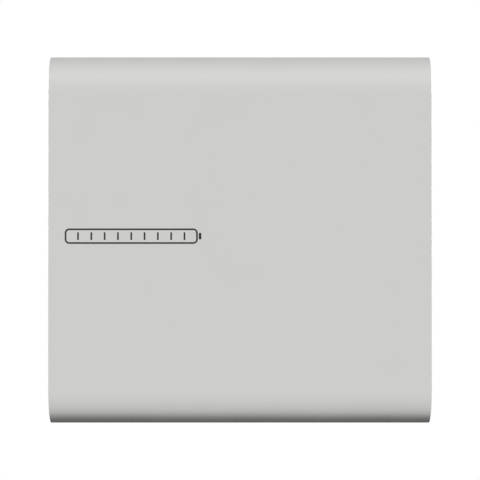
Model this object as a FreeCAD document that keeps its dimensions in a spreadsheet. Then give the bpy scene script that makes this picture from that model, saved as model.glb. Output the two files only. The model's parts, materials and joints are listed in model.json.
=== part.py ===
"""Wall battery unit: a 16-cell lithium iron phosphate battery in a wrapped aluminium cover.

Frame: X across the unit, Y from the room towards the wall, Z up. The origin is the centre of the four
wall-bolt holes, on the wall's surface. The front face looks along -Y.
"""

import FreeCAD, Part
import math
import os
from types import SimpleNamespace

import Sketcher

PARTS_FOLDER = "parts"

# Driving dimensions in millimetres. "Level" is a distance out from the wall.
SIZES = {
    # cover: one sheet wrapped over the top, the front and the underside
    "unit_width": 600,
    "unit_height": 580,
    "unit_depth": 180,
    "shell_radius": 66,
    "shell_gauge": 2.5,
    "shell_rear_level": 12,
    "emblem_height": 0.4,
    # side panels and their seals
    "side_recess": 7,
    "side_gauge": 3,
    "seal_gap": 0.4,
    "seal_width": 5,
    "panel_inset": 5.5,
    "panel_screw_level": 45,
    # chassis tray
    "tray_level": 18,
    "tray_height": 566,
    "tray_depth": 45,
    "tray_gauge": 1.5,
    # wall plate and hanging rail
    "wall_plate_width": 440,
    "wall_plate_gauge": 3,
    "wall_hole_spacing": 400,
    "wall_hole_rise": 300,
    "wall_hole_radius": 4.5,
    "hook_height": 200,
    "hook_lip": 19.8,
    "ledge_drop": 262,
    "rail_width": 400,
    "rail_gauge": 2.5,
    # battery modules
    "cell_thick": 36.35,
    "cell_deep": 130.3,
    "cell_tall": 195,
    "cell_gap": 1,
    "end_plate_gauge": 10,
    "stack_centre": -103,
    "stack_rear_level": 30,
    "lower_base": -234,
    "upper_base": -18,
    "terminal_spread": 92,
    "terminal_pad": 3,
    "busbar_gauge": 2,
    "shelf_gauge": 2,
    # partition and electronics bay
    "partition_left": 57,
    "partition_gauge": 1.5,
    "board_left": 92,
    "board_width": 176,
    "board_base": 30,
    "board_height": 160,
    "board_level": 47,
    "board_gauge": 1.6,
    # circuit breaker, its flap and the power button
    "breaker_level": 60,
    "breaker_width": 36,
    "breaker_height": 90,
    "breaker_left": 222,
    "lever_pivot": 276,
    "breaker_centre": -45,
    "button_level": 120,
    "button_height": 90,
    # cable bay in the underside
    "bay_left": 100,
    "bay_right": 260,
    "bay_depth": 54,
    "bay_roof": -238,
    "gland_level": 47,
    "power_gland_bore": 7,
    "signal_gland_bore": 4,
    "earth_stud_radius": 3,
    # cables
    "power_cable_radius": 4,
    "sense_cable_radius": 2.5,
}

CELLS = 8
FASTENER_HEX = 6
STUD_RADIUS = 3
RUNNING_GAP = 0.08
COVER_SCREW_RADIUS = 2.5
COVER_SCREW_LEVEL = 40
COVER_SCREW_PLACES = (-230, 0, 275)
GUIDE_PLACES = [(x, z) for x in (-276, 276) for z in (-208, 208)]
GUIDE_PIN_RADIUS = 4
PANEL_SCREW_HEIGHTS = (-240, -80, 80, 240)
VENT_PLACE = (-110, -250)
VENT_RADIUS = 6
RAIL_SCREW_PLACES = (-160, -50, 50, 160)
RAIL_SCREW_HEIGHT = 200
LOCK_PLACES = (-86, 86)
LOCK_SCREW_HEIGHT = -270
LOCK_Y = -10
SHELF_SCREW_PLACES = (-240, -103, 30)
BRACKET_RISE = 95
MODULE_BOLT_LEVEL = 58
RETURN_BAR_Y = -72
SENSE_Y = -118
POWER_RISE = 8
SENSE_RISE = 4.5
LUG_REACH = 12
EARTH_STUD_PLACE = 238
EARTH_NECK_RADIUS = 2.5
BOARD_TERMINALS = (20, 156)
CONTACTOR_X, CONTACTOR_FACE = 99, -76
FUSE_X, FUSE_FACE = 150, -60
POWER_STUDS = (-98, -48)
FUSE_STUDS = (-98, -8)
POLE_PLACES = (-69, -87)
TRUNNION_RADIUS = 2
LEVER_TILT = 26
BUTTON_BARREL_RADIUS = 9
BUTTON_RADIUS = 6
LEFT, RIGHT = (-1, 0, 0), (1, 0, 0)
TO_FRONT, TO_WALL = (0, -1, 0), (0, 1, 0)
DOWN, UP = (0, 0, -1), (0, 0, 1)

doc = FreeCAD.newDocument("wall_battery_unit")
nodes = []


# ---------------------------------------------------------------- sizes and expressions


class Size:
    """A length worked out from the sheet: its value, and the expression that gives it."""

    def __init__(self, value, text):
        self.value = float(value)
        self.text = text

    def join(self, sign, other, value):
        return Size(value, f"({self.text} {sign} {size(other).text})")

    def __add__(self, other):
        return self.join("+", other, self.value + size(other).value)

    def __sub__(self, other):
        return self.join("-", other, self.value - size(other).value)

    def __mul__(self, other):
        return self.join("*", other, self.value * size(other).value)

    def __truediv__(self, other):
        return self.join("/", other, self.value / size(other).value)

    def __radd__(self, other):
        return size(other) + self

    def __rsub__(self, other):
        return size(other) - self

    def __rmul__(self, other):
        return size(other) * self

    def __neg__(self):
        return Size(-self.value, f"(-{self.text})")


def size(number):
    """The number as a Size; a Size stays as it is."""
    if isinstance(number, Size):
        return number
    return Size(number, f"({float(number)})")


def make_sheet():
    """Fills the spreadsheet and returns its cells as Sizes, by alias."""
    sheet = doc.addObject("Spreadsheet::Sheet", "sizes")
    cells = {}
    for row, (alias, value) in enumerate(SIZES.items(), 1):
        sheet.set(f"A{row}", alias)
        sheet.set(f"B{row}", str(value))
        sheet.setAlias(f"B{row}", alias)
        cells[alias] = Size(value, f"sizes.{alias}")
    doc.recompute()
    return SimpleNamespace(**cells)


def bind(item, name, number):
    """Binds a property to the expression of a Size."""
    item.setExpression(name, size(number).text)


# ---------------------------------------------------------------- sketched bodies


def toward(start, end):
    """The unit step along X or Y from one corner to another in the same row or column."""
    steps = []
    for a, b in zip(start[:2], end[:2]):
        gap = b.value - a.value
        steps.append(0 if abs(gap) < 1e-6 else int(math.copysign(1, gap)))
    return steps


def stepped(number, step, distance):
    """The number moved by the distance in the direction of the step."""
    if step == 0:
        return number
    return number + distance if step > 0 else number - distance


def outline_elements(corners):
    """The start point of each line or arc of an outline, and each arc's radius and centre."""
    points = [tuple(size(value) for value in corner) for corner in corners]
    elements = []
    for index, point in enumerate(points):
        x, y = point[:2]
        if len(point) == 2:
            elements.append((x, y, None, None))
            continue
        radius = point[2]
        back = toward(point, points[index - 1])
        ahead = toward(point, points[(index + 1) % len(points)])
        start = (stepped(x, back[0], radius), stepped(y, back[1], radius))
        end = (stepped(x, ahead[0], radius), stepped(y, ahead[1], radius))
        centre = (stepped(start[0], ahead[0], radius), stepped(start[1], ahead[1], radius))
        elements.append((*start, radius, centre))
        elements.append((*end, None, None))
    return elements


def fix_point(sketch, geometry, end, x, y):
    """Ties a point of the sketch to its place, measured from the sketch's origin."""
    for axis, kind, number in ((-2, "DistanceX", x), (-1, "DistanceY", y)):
        if abs(number.value) < 1e-9:
            sketch.addConstraint(Sketcher.Constraint("PointOnObject", geometry, end, axis))
            continue
        row = sketch.addConstraint(Sketcher.Constraint(kind, -1, 1, geometry, end, number.value))
        bind(sketch, f"Constraints[{row}]", number)


def fix_radius(sketch, geometry, radius):
    """Ties the radius of an arc or circle of the sketch."""
    row = sketch.addConstraint(Sketcher.Constraint("Radius", geometry, radius.value))
    bind(sketch, f"Constraints[{row}]", radius)


def draw_outline(sketch, corners):
    """Draws a closed outline. A corner is (x, y), or (x, y, radius) where it is square and rounded."""
    elements = outline_elements(corners)
    drawn = []
    for index, (x, y, radius, centre) in enumerate(elements):
        next_x, next_y = elements[(index + 1) % len(elements)][:2]
        start = FreeCAD.Vector(x.value, y.value, 0)
        end = FreeCAD.Vector(next_x.value, next_y.value, 0)
        if radius is None:
            drawn.append((sketch.addGeometry(Part.LineSegment(start, end)), 1, 2))
            continue
        middle = FreeCAD.Vector(centre[0].value, centre[1].value, 0)
        angles = [math.atan2(p.y - middle.y, p.x - middle.x) for p in (start, end)]
        forward = (angles[1] - angles[0]) % (2 * math.pi) < math.pi
        first, last = angles if forward else reversed(angles)
        circle = Part.Circle(middle, FreeCAD.Vector(0, 0, 1), radius.value)
        geometry = sketch.addGeometry(Part.ArcOfCircle(circle, first, last))
        drawn.append((geometry, 1, 2) if forward else (geometry, 2, 1))
    for index, (geometry, start_end, far_end) in enumerate(drawn):
        following, following_start, _ = drawn[(index + 1) % len(drawn)]
        sketch.addConstraint(
            Sketcher.Constraint("Coincident", geometry, far_end, following, following_start)
        )
        x, y, radius, _ = elements[index]
        fix_point(sketch, geometry, start_end, x, y)
        if radius is not None:
            fix_radius(sketch, geometry, radius)


def draw_circle(sketch, x, y, radius):
    """Draws a circle about a point."""
    x, y, radius = size(x), size(y), size(radius)
    middle = FreeCAD.Vector(x.value, y.value, 0)
    circle = Part.Circle(middle, FreeCAD.Vector(0, 0, 1), radius.value)
    geometry = sketch.addGeometry(circle)
    fix_point(sketch, geometry, 3, x, y)
    fix_radius(sketch, geometry, radius)


def rectangle(x_low, x_high, y_low, y_high, radius=None):
    """A rectangular outline, with rounded corners where a radius is given."""
    corners = [(x_low, y_low), (x_high, y_low), (x_high, y_high), (x_low, y_high)]
    return corners if radius is None else [(*corner, radius) for corner in corners]


class Piece:
    """A PartDesign body that grows by one sketched feature at a time.

    Its planes are XY, whose level is a height, XZ, whose level is a distance out from the wall, and YZ,
    whose level is a place across the unit. Outlines are lists of corners, and circles are (x, y, radius).
    """

    def __init__(self, label):
        self.body = doc.addObject("PartDesign::Body", label)
        self.body.Label = label

    def sketch(self, plane, level, loops):
        sketch = self.body.newObject("Sketcher::SketchObject", f"{self.body.Name}_sketch")
        planes = {item.Role: item for item in self.body.Origin.OriginFeatures}
        sketch.AttachmentSupport = [(planes[f"{plane}_Plane"], "")]
        sketch.MapMode = "FlatFace"
        bind(sketch, "AttachmentOffset.Base.z", level)
        for loop in loops:
            if isinstance(loop, list):
                draw_outline(sketch, loop)
            else:
                draw_circle(sketch, *loop)
        sketch.Visibility = False
        return sketch

    def feature(self, kind, sketch):
        feature = self.body.newObject(f"PartDesign::{kind}", f"{self.body.Name}_{kind.lower()}")
        feature.Profile = sketch
        return feature

    def pad(self, plane, level, length, loops):
        """Adds material from the level upwards or outwards."""
        pad = self.feature("Pad", self.sketch(plane, level, loops))
        bind(pad, "Length", length)
        return self

    def pocket(self, plane, level, depth, loops):
        """Takes material away from the level downwards or towards the wall."""
        pocket = self.feature("Pocket", self.sketch(plane, level, loops))
        bind(pocket, "Length", depth)
        return self

    def drill(self, plane, loops):
        """Cuts the loops right through the piece."""
        pocket = self.feature("Pocket", self.sketch(plane, 0, loops))
        pocket.Type = "ThroughAll"
        pocket.SideType = "Symmetric"
        return self

    def repeat(self, axis, pitch, count):
        """Repeats the last feature along an axis of the body."""
        axes = {item.Role: item for item in self.body.Origin.OriginFeatures}
        pattern = self.body.newObject("PartDesign::LinearPattern", f"{self.body.Name}_pattern")
        pattern.Originals = [self.body.Tip]
        pattern.Direction = (axes[f"{axis}_Axis"], [""])
        pattern.Occurrences = count
        bind(pattern, "Length", pitch * (count - 1))
        self.body.Tip = pattern
        return self


# ---------------------------------------------------------------- primitives and booleans


def moved(point, direction, distance):
    """The point moved by the distance along a unit direction."""
    return tuple(stepped(size(p), step, distance) for p, step in zip(point, direction))


def place(item, point, direction):
    """Puts a primitive's base at the point, with its height along the direction."""
    item.Placement.Rotation = FreeCAD.Rotation(FreeCAD.Vector(0, 0, 1), FreeCAD.Vector(*direction))
    for axis, number in zip("xyz", point):
        bind(item, f"Placement.Base.{axis}", number)
    return item


def block(x_low, x_high, y_low, y_high, z_low, z_high):
    """A box between two corners."""
    item = doc.addObject("Part::Box", "block")
    bind(item, "Length", size(x_high) - x_low)
    bind(item, "Width", size(y_high) - y_low)
    bind(item, "Height", size(z_high) - z_low)
    return place(item, (x_low, y_low, z_low), UP)


def between(first, second):
    """A box between two opposite corners, given in any order."""
    limits = []
    for pair in zip(first, second):
        limits += sorted((size(number) for number in pair), key=lambda number: number.value)
    return block(*limits)


def rod(point, direction, radius, length):
    """A round bar that starts at the point."""
    item = doc.addObject("Part::Cylinder", "rod")
    bind(item, "Radius", radius)
    bind(item, "Height", length)
    return place(item, point, direction)


def hex_bar(point, direction, corner_radius, length):
    """A six-sided bar that starts at the point."""
    item = doc.addObject("Part::Prism", "hex_bar")
    item.Polygon = FASTENER_HEX
    bind(item, "Circumradius", corner_radius)
    bind(item, "Height", length)
    return place(item, point, direction)


def cone(point, direction, base_radius, tip_radius, length):
    """A tapered round bar that starts at the point."""
    item = doc.addObject("Part::Cone", "cone")
    bind(item, "Radius1", base_radius)
    bind(item, "Radius2", tip_radius)
    bind(item, "Height", length)
    return place(item, point, direction)


def fuse(*items):
    """The items joined into one solid."""
    item = doc.addObject("Part::MultiFuse", "fuse")
    item.Shapes = list(items)
    return item


def cut(base, *tools):
    """The base with every tool taken away."""
    item = doc.addObject("Part::Cut", "cut")
    item.Base = base
    item.Tool = tools[0] if len(tools) == 1 else fuse(*tools)
    return item


def tube(point, direction, outer_radius, inner_radius, length):
    """A round tube that starts at the point."""
    return cut(
        rod(point, direction, outer_radius, length), rod(point, direction, inner_radius, length)
    )


def nut(point, direction, corner_radius, bore_radius, length):
    """A hexagon nut that starts at the point."""
    return cut(
        hex_bar(point, direction, corner_radius, length), rod(point, direction, bore_radius, length)
    )


def rounded(item, radius, direction):
    """The item with its straight edges along the direction rounded."""
    doc.recompute()
    along = FreeCAD.Vector(*direction)
    edges = [
        (index, radius, radius)
        for index, edge in enumerate(item.Shape.Edges, 1)
        if isinstance(edge.Curve, Part.Line) and edge.tangentAt(0).cross(along).Length < 1e-6
    ]
    fillet = doc.addObject("Part::Fillet", "rounded")
    fillet.Base = item
    fillet.Edges = edges
    return fillet


def screw(seat, direction, shank_radius, shank_length):
    """A socket-head screw: the seat is under its head, and the shank runs along the direction."""
    head_radius, head_height = shank_radius * 1.8, shank_radius * 1.2
    back = tuple(-step for step in direction)
    head_top = moved(seat, back, head_height)
    solid = fuse(
        rod(head_top, direction, head_radius, head_height), rod(seat, direction, shank_radius, shank_length)
    )
    return cut(solid, hex_bar(head_top, direction, shank_radius * 0.9, head_height * 0.6))


def node(label, *items):
    """Registers a sub-part under its name: one item, or several as a group of separate solids."""
    item = items[0]
    if len(items) > 1:
        item = doc.addObject("Part::Compound", label)
        item.Links = list(items)
    item.Label = label
    nodes.append(item)


# ---------------------------------------------------------------- cover


def wrapped_profile(outer_inset, inner_inset, rear_level):
    """The side view of a sheet that wraps the top, front and underside, between two insets."""
    corners = []
    for inset, turn in ((outer_inset, 1), (inner_inset, -1)):
        height, level = (top - inset) * turn, -(s.unit_depth - inset)
        radius = s.shell_radius - inset
        corners += [
            (-size(rear_level), height),
            (level, height, radius),
            (level, -height, radius),
            (-size(rear_level), -height),
        ]
    return corners


def front_cover():
    """The aluminium sheet that wraps the unit, cut away behind over the cable bay."""
    margin = 4
    cover = Piece("front_cover")
    profile = wrapped_profile(0, s.shell_gauge, s.shell_rear_level)
    cover.pad("YZ", -half_width, s.unit_width, [profile])
    notch = rectangle(
        s.bay_left - margin,
        s.bay_right + margin,
        -(s.tray_level + s.bay_depth + 2 * margin),
        -s.shell_rear_level + 1,
    )
    above, depth = -top + s.shell_gauge + 1, s.shell_gauge + 2
    holes = [(x, -COVER_SCREW_LEVEL, COVER_SCREW_RADIUS + 0.2) for x in COVER_SCREW_PLACES]
    cover.pocket("XY", above, depth, [notch, *holes])
    node("front_cover", cover.body)


def front_emblem():
    """A plain battery symbol on the front face: a long outline with a terminal and charge marks."""
    left, right, low, high = -274, -66, -6, 18
    stroke, corner, marks, mark_margin = 2.6, 7, 9, 6
    outline = Piece("emblem_outline")
    rings = [
        rectangle(left, right, low, high, corner),
        rectangle(left + stroke, right - stroke, low + stroke, high - stroke, corner - stroke),
    ]
    outline.pad("XZ", s.unit_depth, s.emblem_height, rings)
    face, raised = -s.unit_depth, -(s.unit_depth + s.emblem_height)
    middle = (low + high) / 2
    pieces = [outline.body, block(right + 1.6, right + 5.6, raised, face, middle - 5, middle + 5)]
    for index in range(1, marks + 1):
        x = left + (right - left) / (marks + 1) * index
        limits = (x - stroke / 2, x + stroke / 2, raised, face, low + mark_margin, high - mark_margin)
        pieces.append(block(*limits))
    node("front_emblem", *pieces)


def cover_sockets():
    """Four cups inside the cover with rubber bushes, which push onto the guide pins of the chassis."""
    cups, bushes = [], []
    inner = -(s.unit_depth - s.shell_gauge)
    for x, z in GUIDE_PLACES:
        cup = rod((x, inner, z), TO_WALL, 9, 22)
        cups.append(cut(cup, rod((x, inner + 2, z), TO_WALL, 7, 20)))
        bushes.append(tube((x, inner + 4, z), TO_WALL, 7, GUIDE_PIN_RADIUS + RUNNING_GAP, 17))
    node("cover_sockets", *cups)
    node("cover_bushes", *bushes)


def cover_screws():
    """Captive screws that lock the cover, up through its underside into the open slots of the tray."""
    seats = [(x, -COVER_SCREW_LEVEL, -top) for x in COVER_SCREW_PLACES]
    node("cover_screws", *[screw(seat, UP, COVER_SCREW_RADIUS, 13) for seat in seats])


# ---------------------------------------------------------------- side panels


def panel_outline():
    """The D-shaped outline of a side panel, inside the cover."""
    height, level = top - s.panel_inset, -(s.unit_depth - s.panel_inset)
    radius = s.shell_radius - s.panel_inset
    return [
        (-s.tray_level, -height),
        (level, -height, radius),
        (level, height, radius),
        (-s.tray_level, height),
    ]


def panel_screw_circles():
    """The clearance holes for the screws of a side panel."""
    return [(-s.panel_screw_level, z, 2.2) for z in PANEL_SCREW_HEIGHTS]


def side_panels():
    """The end plates: the left one takes the vent, and the right one the breaker and the button."""
    left = Piece("side_panel_left")
    left.pad("YZ", -panel_outer, s.side_gauge, [panel_outline()])
    left.drill("YZ", [*panel_screw_circles(), (*VENT_PLACE, VENT_RADIUS + 0.1)])
    node("side_panel_left", left.body)

    right = Piece("side_panel_right")
    right.pad("YZ", panel_inner, s.side_gauge, [panel_outline()])
    window = rectangle(
        -(s.breaker_level + s.breaker_width + 3),
        -(s.breaker_level - 3),
        s.breaker_centre - 25,
        s.breaker_centre + 25,
        4,
    )
    button = (-s.button_level, s.button_height, BUTTON_BARREL_RADIUS + 0.1)
    right.drill("YZ", [*panel_screw_circles(), window, button])
    node("side_panel_right", right.body)


def edge_seals():
    """Rubber strips round the edges of the side panels, which seal them to the cover."""
    profile = wrapped_profile(s.shell_gauge + s.seal_gap, s.panel_inset, s.tray_level)
    seals = []
    for x in (-panel_outer - 1, panel_outer + 1 - s.seal_width):
        seals.append(Piece("edge_seal").pad("YZ", x, s.seal_width, [profile]).body)
    node("edge_seals", *seals)


def side_panel_screws():
    """Screws that hold the side panels to the flanges of the tray."""
    screws = []
    for z in PANEL_SCREW_HEIGHTS:
        screws.append(screw((-panel_outer, -s.panel_screw_level, z), RIGHT, 2, 9))
        screws.append(screw((panel_outer, -s.panel_screw_level, z), LEFT, 2, 9))
    node("side_panel_screws", *screws)


def breather_vent():
    """The pressure-equalising vent in the left panel, and the nut that holds it."""
    seat = (-panel_outer, *VENT_PLACE)
    vent = fuse(rod(moved(seat, LEFT, 4), RIGHT, 10, 4), rod(seat, RIGHT, VENT_RADIUS, 12))
    bored = cut(vent, rod(moved(seat, RIGHT, 2), RIGHT, 3.5, 10))
    node("breather_vent", bored, nut(moved(seat, RIGHT, s.side_gauge), RIGHT, 10, VENT_RADIUS, 4))


# ---------------------------------------------------------------- chassis and wall plate


def back_plate_screws():
    """Where screws pass the back plate, how far their seats stand in front of it, and their lengths."""
    places = [(x, RAIL_SCREW_HEIGHT, 0, 7) for x in RAIL_SCREW_PLACES]
    places += [(x, LOCK_SCREW_HEIGHT, 0, 3.8) for x in LOCK_PLACES]
    for base in module_bases:
        places += [(x, base - s.shelf_gauge - 11, s.shelf_gauge, 7) for x in SHELF_SCREW_PLACES]
        places.append((stack_left - 12, base + BRACKET_RISE, 2, 7))
    return places


def chassis_tray():
    """The folded steel tray at the back, which carries everything else."""
    high = s.tray_height / 2
    inner_x, inner_z = panel_inner - s.tray_gauge, high - s.tray_gauge
    front = s.tray_level + s.tray_depth
    tray = Piece("chassis_tray")
    tray.pad("XZ", s.tray_level, s.tray_depth, [rectangle(-panel_inner, panel_inner, -high, high)])
    hollow = rectangle(-inner_x, inner_x, -inner_z, inner_z)
    tray.pocket("XZ", front, s.tray_depth - s.tray_gauge, [hollow])
    left, right = s.bay_left - s.tray_gauge, s.bay_right + s.tray_gauge
    openings = [rectangle(left, right, -(front + 1), -(s.tray_level + s.tray_gauge))]
    for x in COVER_SCREW_PLACES:
        openings.append(rectangle(x - 3, x + 3, -(front + 1), -(COVER_SCREW_LEVEL - 3)))
    tray.pocket("XY", -inner_z + 1, s.tray_gauge + 2, openings)
    tray.drill("YZ", panel_screw_circles())
    holes = [(x, z, 2.7) for x, z, *_ in back_plate_screws()]
    tray.pocket("XZ", tray_floor + 1, s.tray_gauge + 2, holes)
    node("chassis_tray", tray.body)


def wall_plate():
    """The steel plate on the wall: a hook along its top, a ledge along its bottom, a window between."""
    gauge, hook, drop = s.wall_plate_gauge, s.hook_height, -s.ledge_drop
    lip_rear, lip_front, ledge_front = -9, -12, -15
    plate = Piece("wall_plate")
    profile = [
        (0, drop),
        (ledge_front, drop),
        (ledge_front, drop + gauge),
        (-gauge, drop + gauge),
        (-gauge, hook - gauge),
        (lip_front, hook - gauge),
        (lip_front, hook + s.hook_lip),
        (lip_rear, hook + s.hook_lip),
        (lip_rear, hook),
        (0, hook),
    ]
    plate.pad("YZ", -s.wall_plate_width / 2, s.wall_plate_width, [profile])
    half_span, half_rise = s.wall_hole_spacing / 2, s.wall_hole_rise / 2
    holes = [(x, z, s.wall_hole_radius) for x in (-half_span, half_span) for z in (-half_rise, half_rise)]
    window = rectangle(-150, 150, -200, 130, 20)
    plate.pocket("XZ", gauge + 1, gauge + 2, [window, *holes])
    lock_holes = [(x, LOCK_Y, 3.2) for x in LOCK_PLACES]
    plate.pocket("XY", drop + gauge + 1, gauge + 2, lock_holes)
    node("wall_plate", plate.body)


def hanging_rail():
    """The rail on the back of the tray whose down-turned lip hangs in the hook of the wall plate."""
    gauge, rest, rear = s.rail_gauge, s.hook_height + s.hook_lip + 0.2, -s.tray_level
    lip_rear, lip_front, lip_drop, flange_drop = -4.5, -7.5, 17, 30
    rail = Piece("hanging_rail")
    profile = [
        (rear, rest - flange_drop),
        (rear, rest + gauge),
        (lip_rear, rest + gauge),
        (lip_rear, rest - lip_drop),
        (lip_front, rest - lip_drop),
        (lip_front, rest),
        (rear + gauge, rest),
        (rear + gauge, rest - flange_drop),
    ]
    rail.pad("YZ", -s.rail_width / 2, s.rail_width, [profile])
    holes = [(x, RAIL_SCREW_HEIGHT, 2.7) for x in RAIL_SCREW_PLACES]
    rail.pocket("XZ", s.tray_level + 1, gauge + 2, holes)
    node("hanging_rail", rail.body)


def lock_parts():
    """Two tabs low on the back of the tray, and the screws that pin them to the ledge of the wall plate."""
    tabs, screws = [], []
    low = -s.ledge_drop + s.wall_plate_gauge + 0.4
    rear = -s.tray_level
    for x in LOCK_PLACES:
        foot = block(x - 14, x + 14, rear, -5, low, low + 5)
        flange = block(x - 14, x + 14, rear, rear + 2.5, low - 21, low)
        pin_hole = rod((x, LOCK_Y, low - 1), UP, 3.3, 7)
        screw_hole = rod((x, rear - 1, LOCK_SCREW_HEIGHT), TO_WALL, 2.7, 5)
        tabs.append(cut(fuse(foot, flange), pin_hole, screw_hole))
        screws.append(screw((x, LOCK_Y, -s.ledge_drop), UP, 3, 11))
    node("lock_tabs", *tabs)
    node("lock_screws", *screws)


def wall_buffers():
    """Rubber buffers that keep the lower half of the unit off the wall plate."""
    length = s.tray_level - s.wall_plate_gauge - 0.3
    node("wall_buffers", *[rod((x, -s.tray_level, -232), TO_WALL, 12, length) for x in (-195, 195)])


def guide_pins():
    """Pins on angle brackets inside the side panels, which guide the cover on."""
    pins = []
    for x, z in GUIDE_PLACES:
        side = 1 if x > 0 else -1
        inward = LEFT if x > 0 else RIGHT
        wall = panel_inner * side
        arm = between((wall, -130, z - 9), (moved((wall,), inward, 24)[0], -127, z + 9))
        leg = between((wall, -127, z - 9), (moved((wall,), inward, 2)[0], -105, z + 9))
        pins.append(fuse(arm, leg, rod((x, -130, z), TO_FRONT, GUIDE_PIN_RADIUS, 40)))
    node("guide_pins", *pins)


# ---------------------------------------------------------------- cable bay


def gland_plate_screws():
    """The corners of the gland plate that are screwed down."""
    near, far = tray_floor + 8, s.tray_level + s.bay_depth - 6
    return [(x, -level) for x in (s.bay_left + 7, s.bay_right - 7) for level in (near, far)]


def glands():
    """Place across the unit, thread radius, bore radius and hexagon radius of each cable gland."""
    power = (12.5, s.power_gland_bore, 16.5)
    return [(135, *power), (174, *power), (209, 8, s.signal_gland_bore, 11.5)]


def cable_bay():
    """The recess in the underside: its walls, and the plate above them with the glands."""
    gauge, low = s.tray_gauge, -s.tray_height / 2
    front = tray_floor + gauge + s.bay_depth
    outer = rectangle(s.bay_left - gauge, s.bay_right + gauge, -(front + gauge), -tray_floor)
    inner = rectangle(s.bay_left, s.bay_right, -front, -(tray_floor + gauge))
    walls = Piece("cable_bay_walls")
    walls.pad("XY", low, s.bay_roof - low, [outer, inner])
    node("cable_bay_walls", walls.body)

    plate = Piece("gland_plate")
    holes = [(x, -s.gland_level, thread + 0.2) for x, thread, _, _ in glands()]
    holes.append((EARTH_STUD_PLACE, -s.gland_level, EARTH_NECK_RADIUS + 0.2))
    holes += [(x, y, 2.2) for x, y in gland_plate_screws()]
    plate.pad("XY", s.bay_roof, s.shelf_gauge, [outer, *holes])
    node("gland_plate", plate.body)


def cable_glands():
    """Cable glands: each a body with its lock nut, a clamping cap and a rubber seal."""
    bodies, caps, seals = [], [], []
    for x, thread, bore, hexagon in glands():
        inside = thread - 2
        seat = (x, -s.gland_level, s.bay_roof)
        flange = moved(seat, DOWN, 5)
        body = fuse(hex_bar(flange, UP, hexagon, 5), rod(seat, UP, thread, 12))
        bodies.append(cut(body, rod(flange, UP, inside - 1.5, 17)))
        bodies.append(nut(moved(seat, UP, s.shelf_gauge), UP, hexagon, thread, 5))
        cap_low, seal_low, mouth = (moved(flange, DOWN, drop) for drop in (12, 14, 17))
        cap = fuse(hex_bar(cap_low, UP, hexagon, 12), cone(cap_low, DOWN, hexagon * 0.84, inside + 1, 5))
        caps.append(cut(cap, rod(seal_low, UP, inside, 14), rod(mouth, UP, bore + 0.4, 17)))
        seals.append(tube(seal_low, UP, inside, bore, 14))
    node("gland_bodies", *bodies)
    node("gland_caps", *caps)
    node("gland_seals", *seals)


def earth_stud():
    """The brass earth stud in the cable bay, held by a nut on each side of the gland plate."""
    seat = (EARTH_STUD_PLACE, -s.gland_level, s.bay_roof)
    nut_height, free_length = 5, 17
    free_top = moved(seat, DOWN, nut_height)
    stud = fuse(
        rod(free_top, DOWN, s.earth_stud_radius, free_length),
        rod(free_top, UP, EARTH_NECK_RADIUS, s.shelf_gauge + 2 * nut_height + 2),
    )
    upper = nut(moved(seat, UP, s.shelf_gauge), UP, 5.8, EARTH_NECK_RADIUS, nut_height)
    node("earth_stud", stud, nut(seat, DOWN, 5.8, EARTH_NECK_RADIUS, nut_height), upper)


# ---------------------------------------------------------------- battery modules


def terminal_level(row):
    """How far out from the wall a row of terminals is: row -1 is at the rear, 1 at the front."""
    return s.stack_rear_level + s.cell_deep / 2 + row * s.terminal_spread / 2


def cell_centre(index):
    """Where a cell's middle is across the unit."""
    return s.stack_centre + (s.cell_thick + s.cell_gap) * (index - (CELLS - 1) / 2)


def cells():
    """Eight prismatic cells in each module, each with a burst disc, and insulating sheets between them."""
    cans, sheets = [], []
    for base in module_bases:
        can_top = base + s.cell_tall
        for index in range(CELLS):
            x = cell_centre(index)
            left, right = x - s.cell_thick / 2, x + s.cell_thick / 2
            can = rounded(block(left, right, stack_front, stack_rear, base, can_top), 2.5, UP)
            disc = rod((x, (stack_rear + stack_front) / 2, can_top), UP, 8, 0.6)
            cans.append(fuse(can, disc))
            if index:
                sheets.append(block(left - s.cell_gap, left, stack_front, stack_rear, base, can_top))
    node("cells", *cans)
    node("cell_sheets", *sheets)


def cell_terminals():
    """A square pad and a threaded stud for each pole of each cell, and all the nuts on power studs."""
    posts, nuts = [], []
    for base in module_bases:
        can_top = base + s.cell_tall
        for x in (cell_centre(index) for index in range(CELLS)):
            for y in (-terminal_level(-1), -terminal_level(1)):
                pad = block(x - 8, x + 8, y - 10, y + 10, can_top, can_top + s.terminal_pad)
                posts.append(fuse(pad, rod((x, y, can_top), UP, STUD_RADIUS, 12)))
                nuts.append(nut((x, y, can_top + bar_high), UP, 5.8, STUD_RADIUS, 5))
        nuts.append(nut((return_bolt_x, RETURN_BAR_Y, can_top + bar_high + 2), UP, 5.8, STUD_RADIUS, 5))
    node("cell_terminals", *posts)
    node("terminal_nuts", *nuts, *power_nuts())


def busbars():
    """The copper bars that join the cells in series, and the long bar that returns from the first."""
    bars = []
    for base in module_bases:
        low, high = base + s.cell_tall + s.terminal_pad, base + s.cell_tall + bar_high
        for index in range(CELLS - 1):
            y = -terminal_level(1 if index % 2 == 0 else -1)
            near, far = cell_centre(index), cell_centre(index + 1)
            bar = rounded(block(near - 8, far + 8, y - 9, y + 9, low, high), 3, UP)
            bars.append(cut(bar, *[rod((x, y, low), UP, STUD_RADIUS + 0.1, 2) for x in (near, far)]))
        x, y = cell_centre(0), -terminal_level(-1)
        leg = block(x - 8, x + 8, RETURN_BAR_Y - 6, y + 9, low, high)
        run = block(x + 8, return_bolt_x + 6, RETURN_BAR_Y - 6, RETURN_BAR_Y + 6, low, high)
        stud = rod((return_bolt_x, RETURN_BAR_Y, low), UP, STUD_RADIUS, 11)
        bars.append(fuse(cut(fuse(leg, run), rod((x, y, low), UP, STUD_RADIUS + 0.1, 2)), stud))
    node("busbars", *bars)


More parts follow.
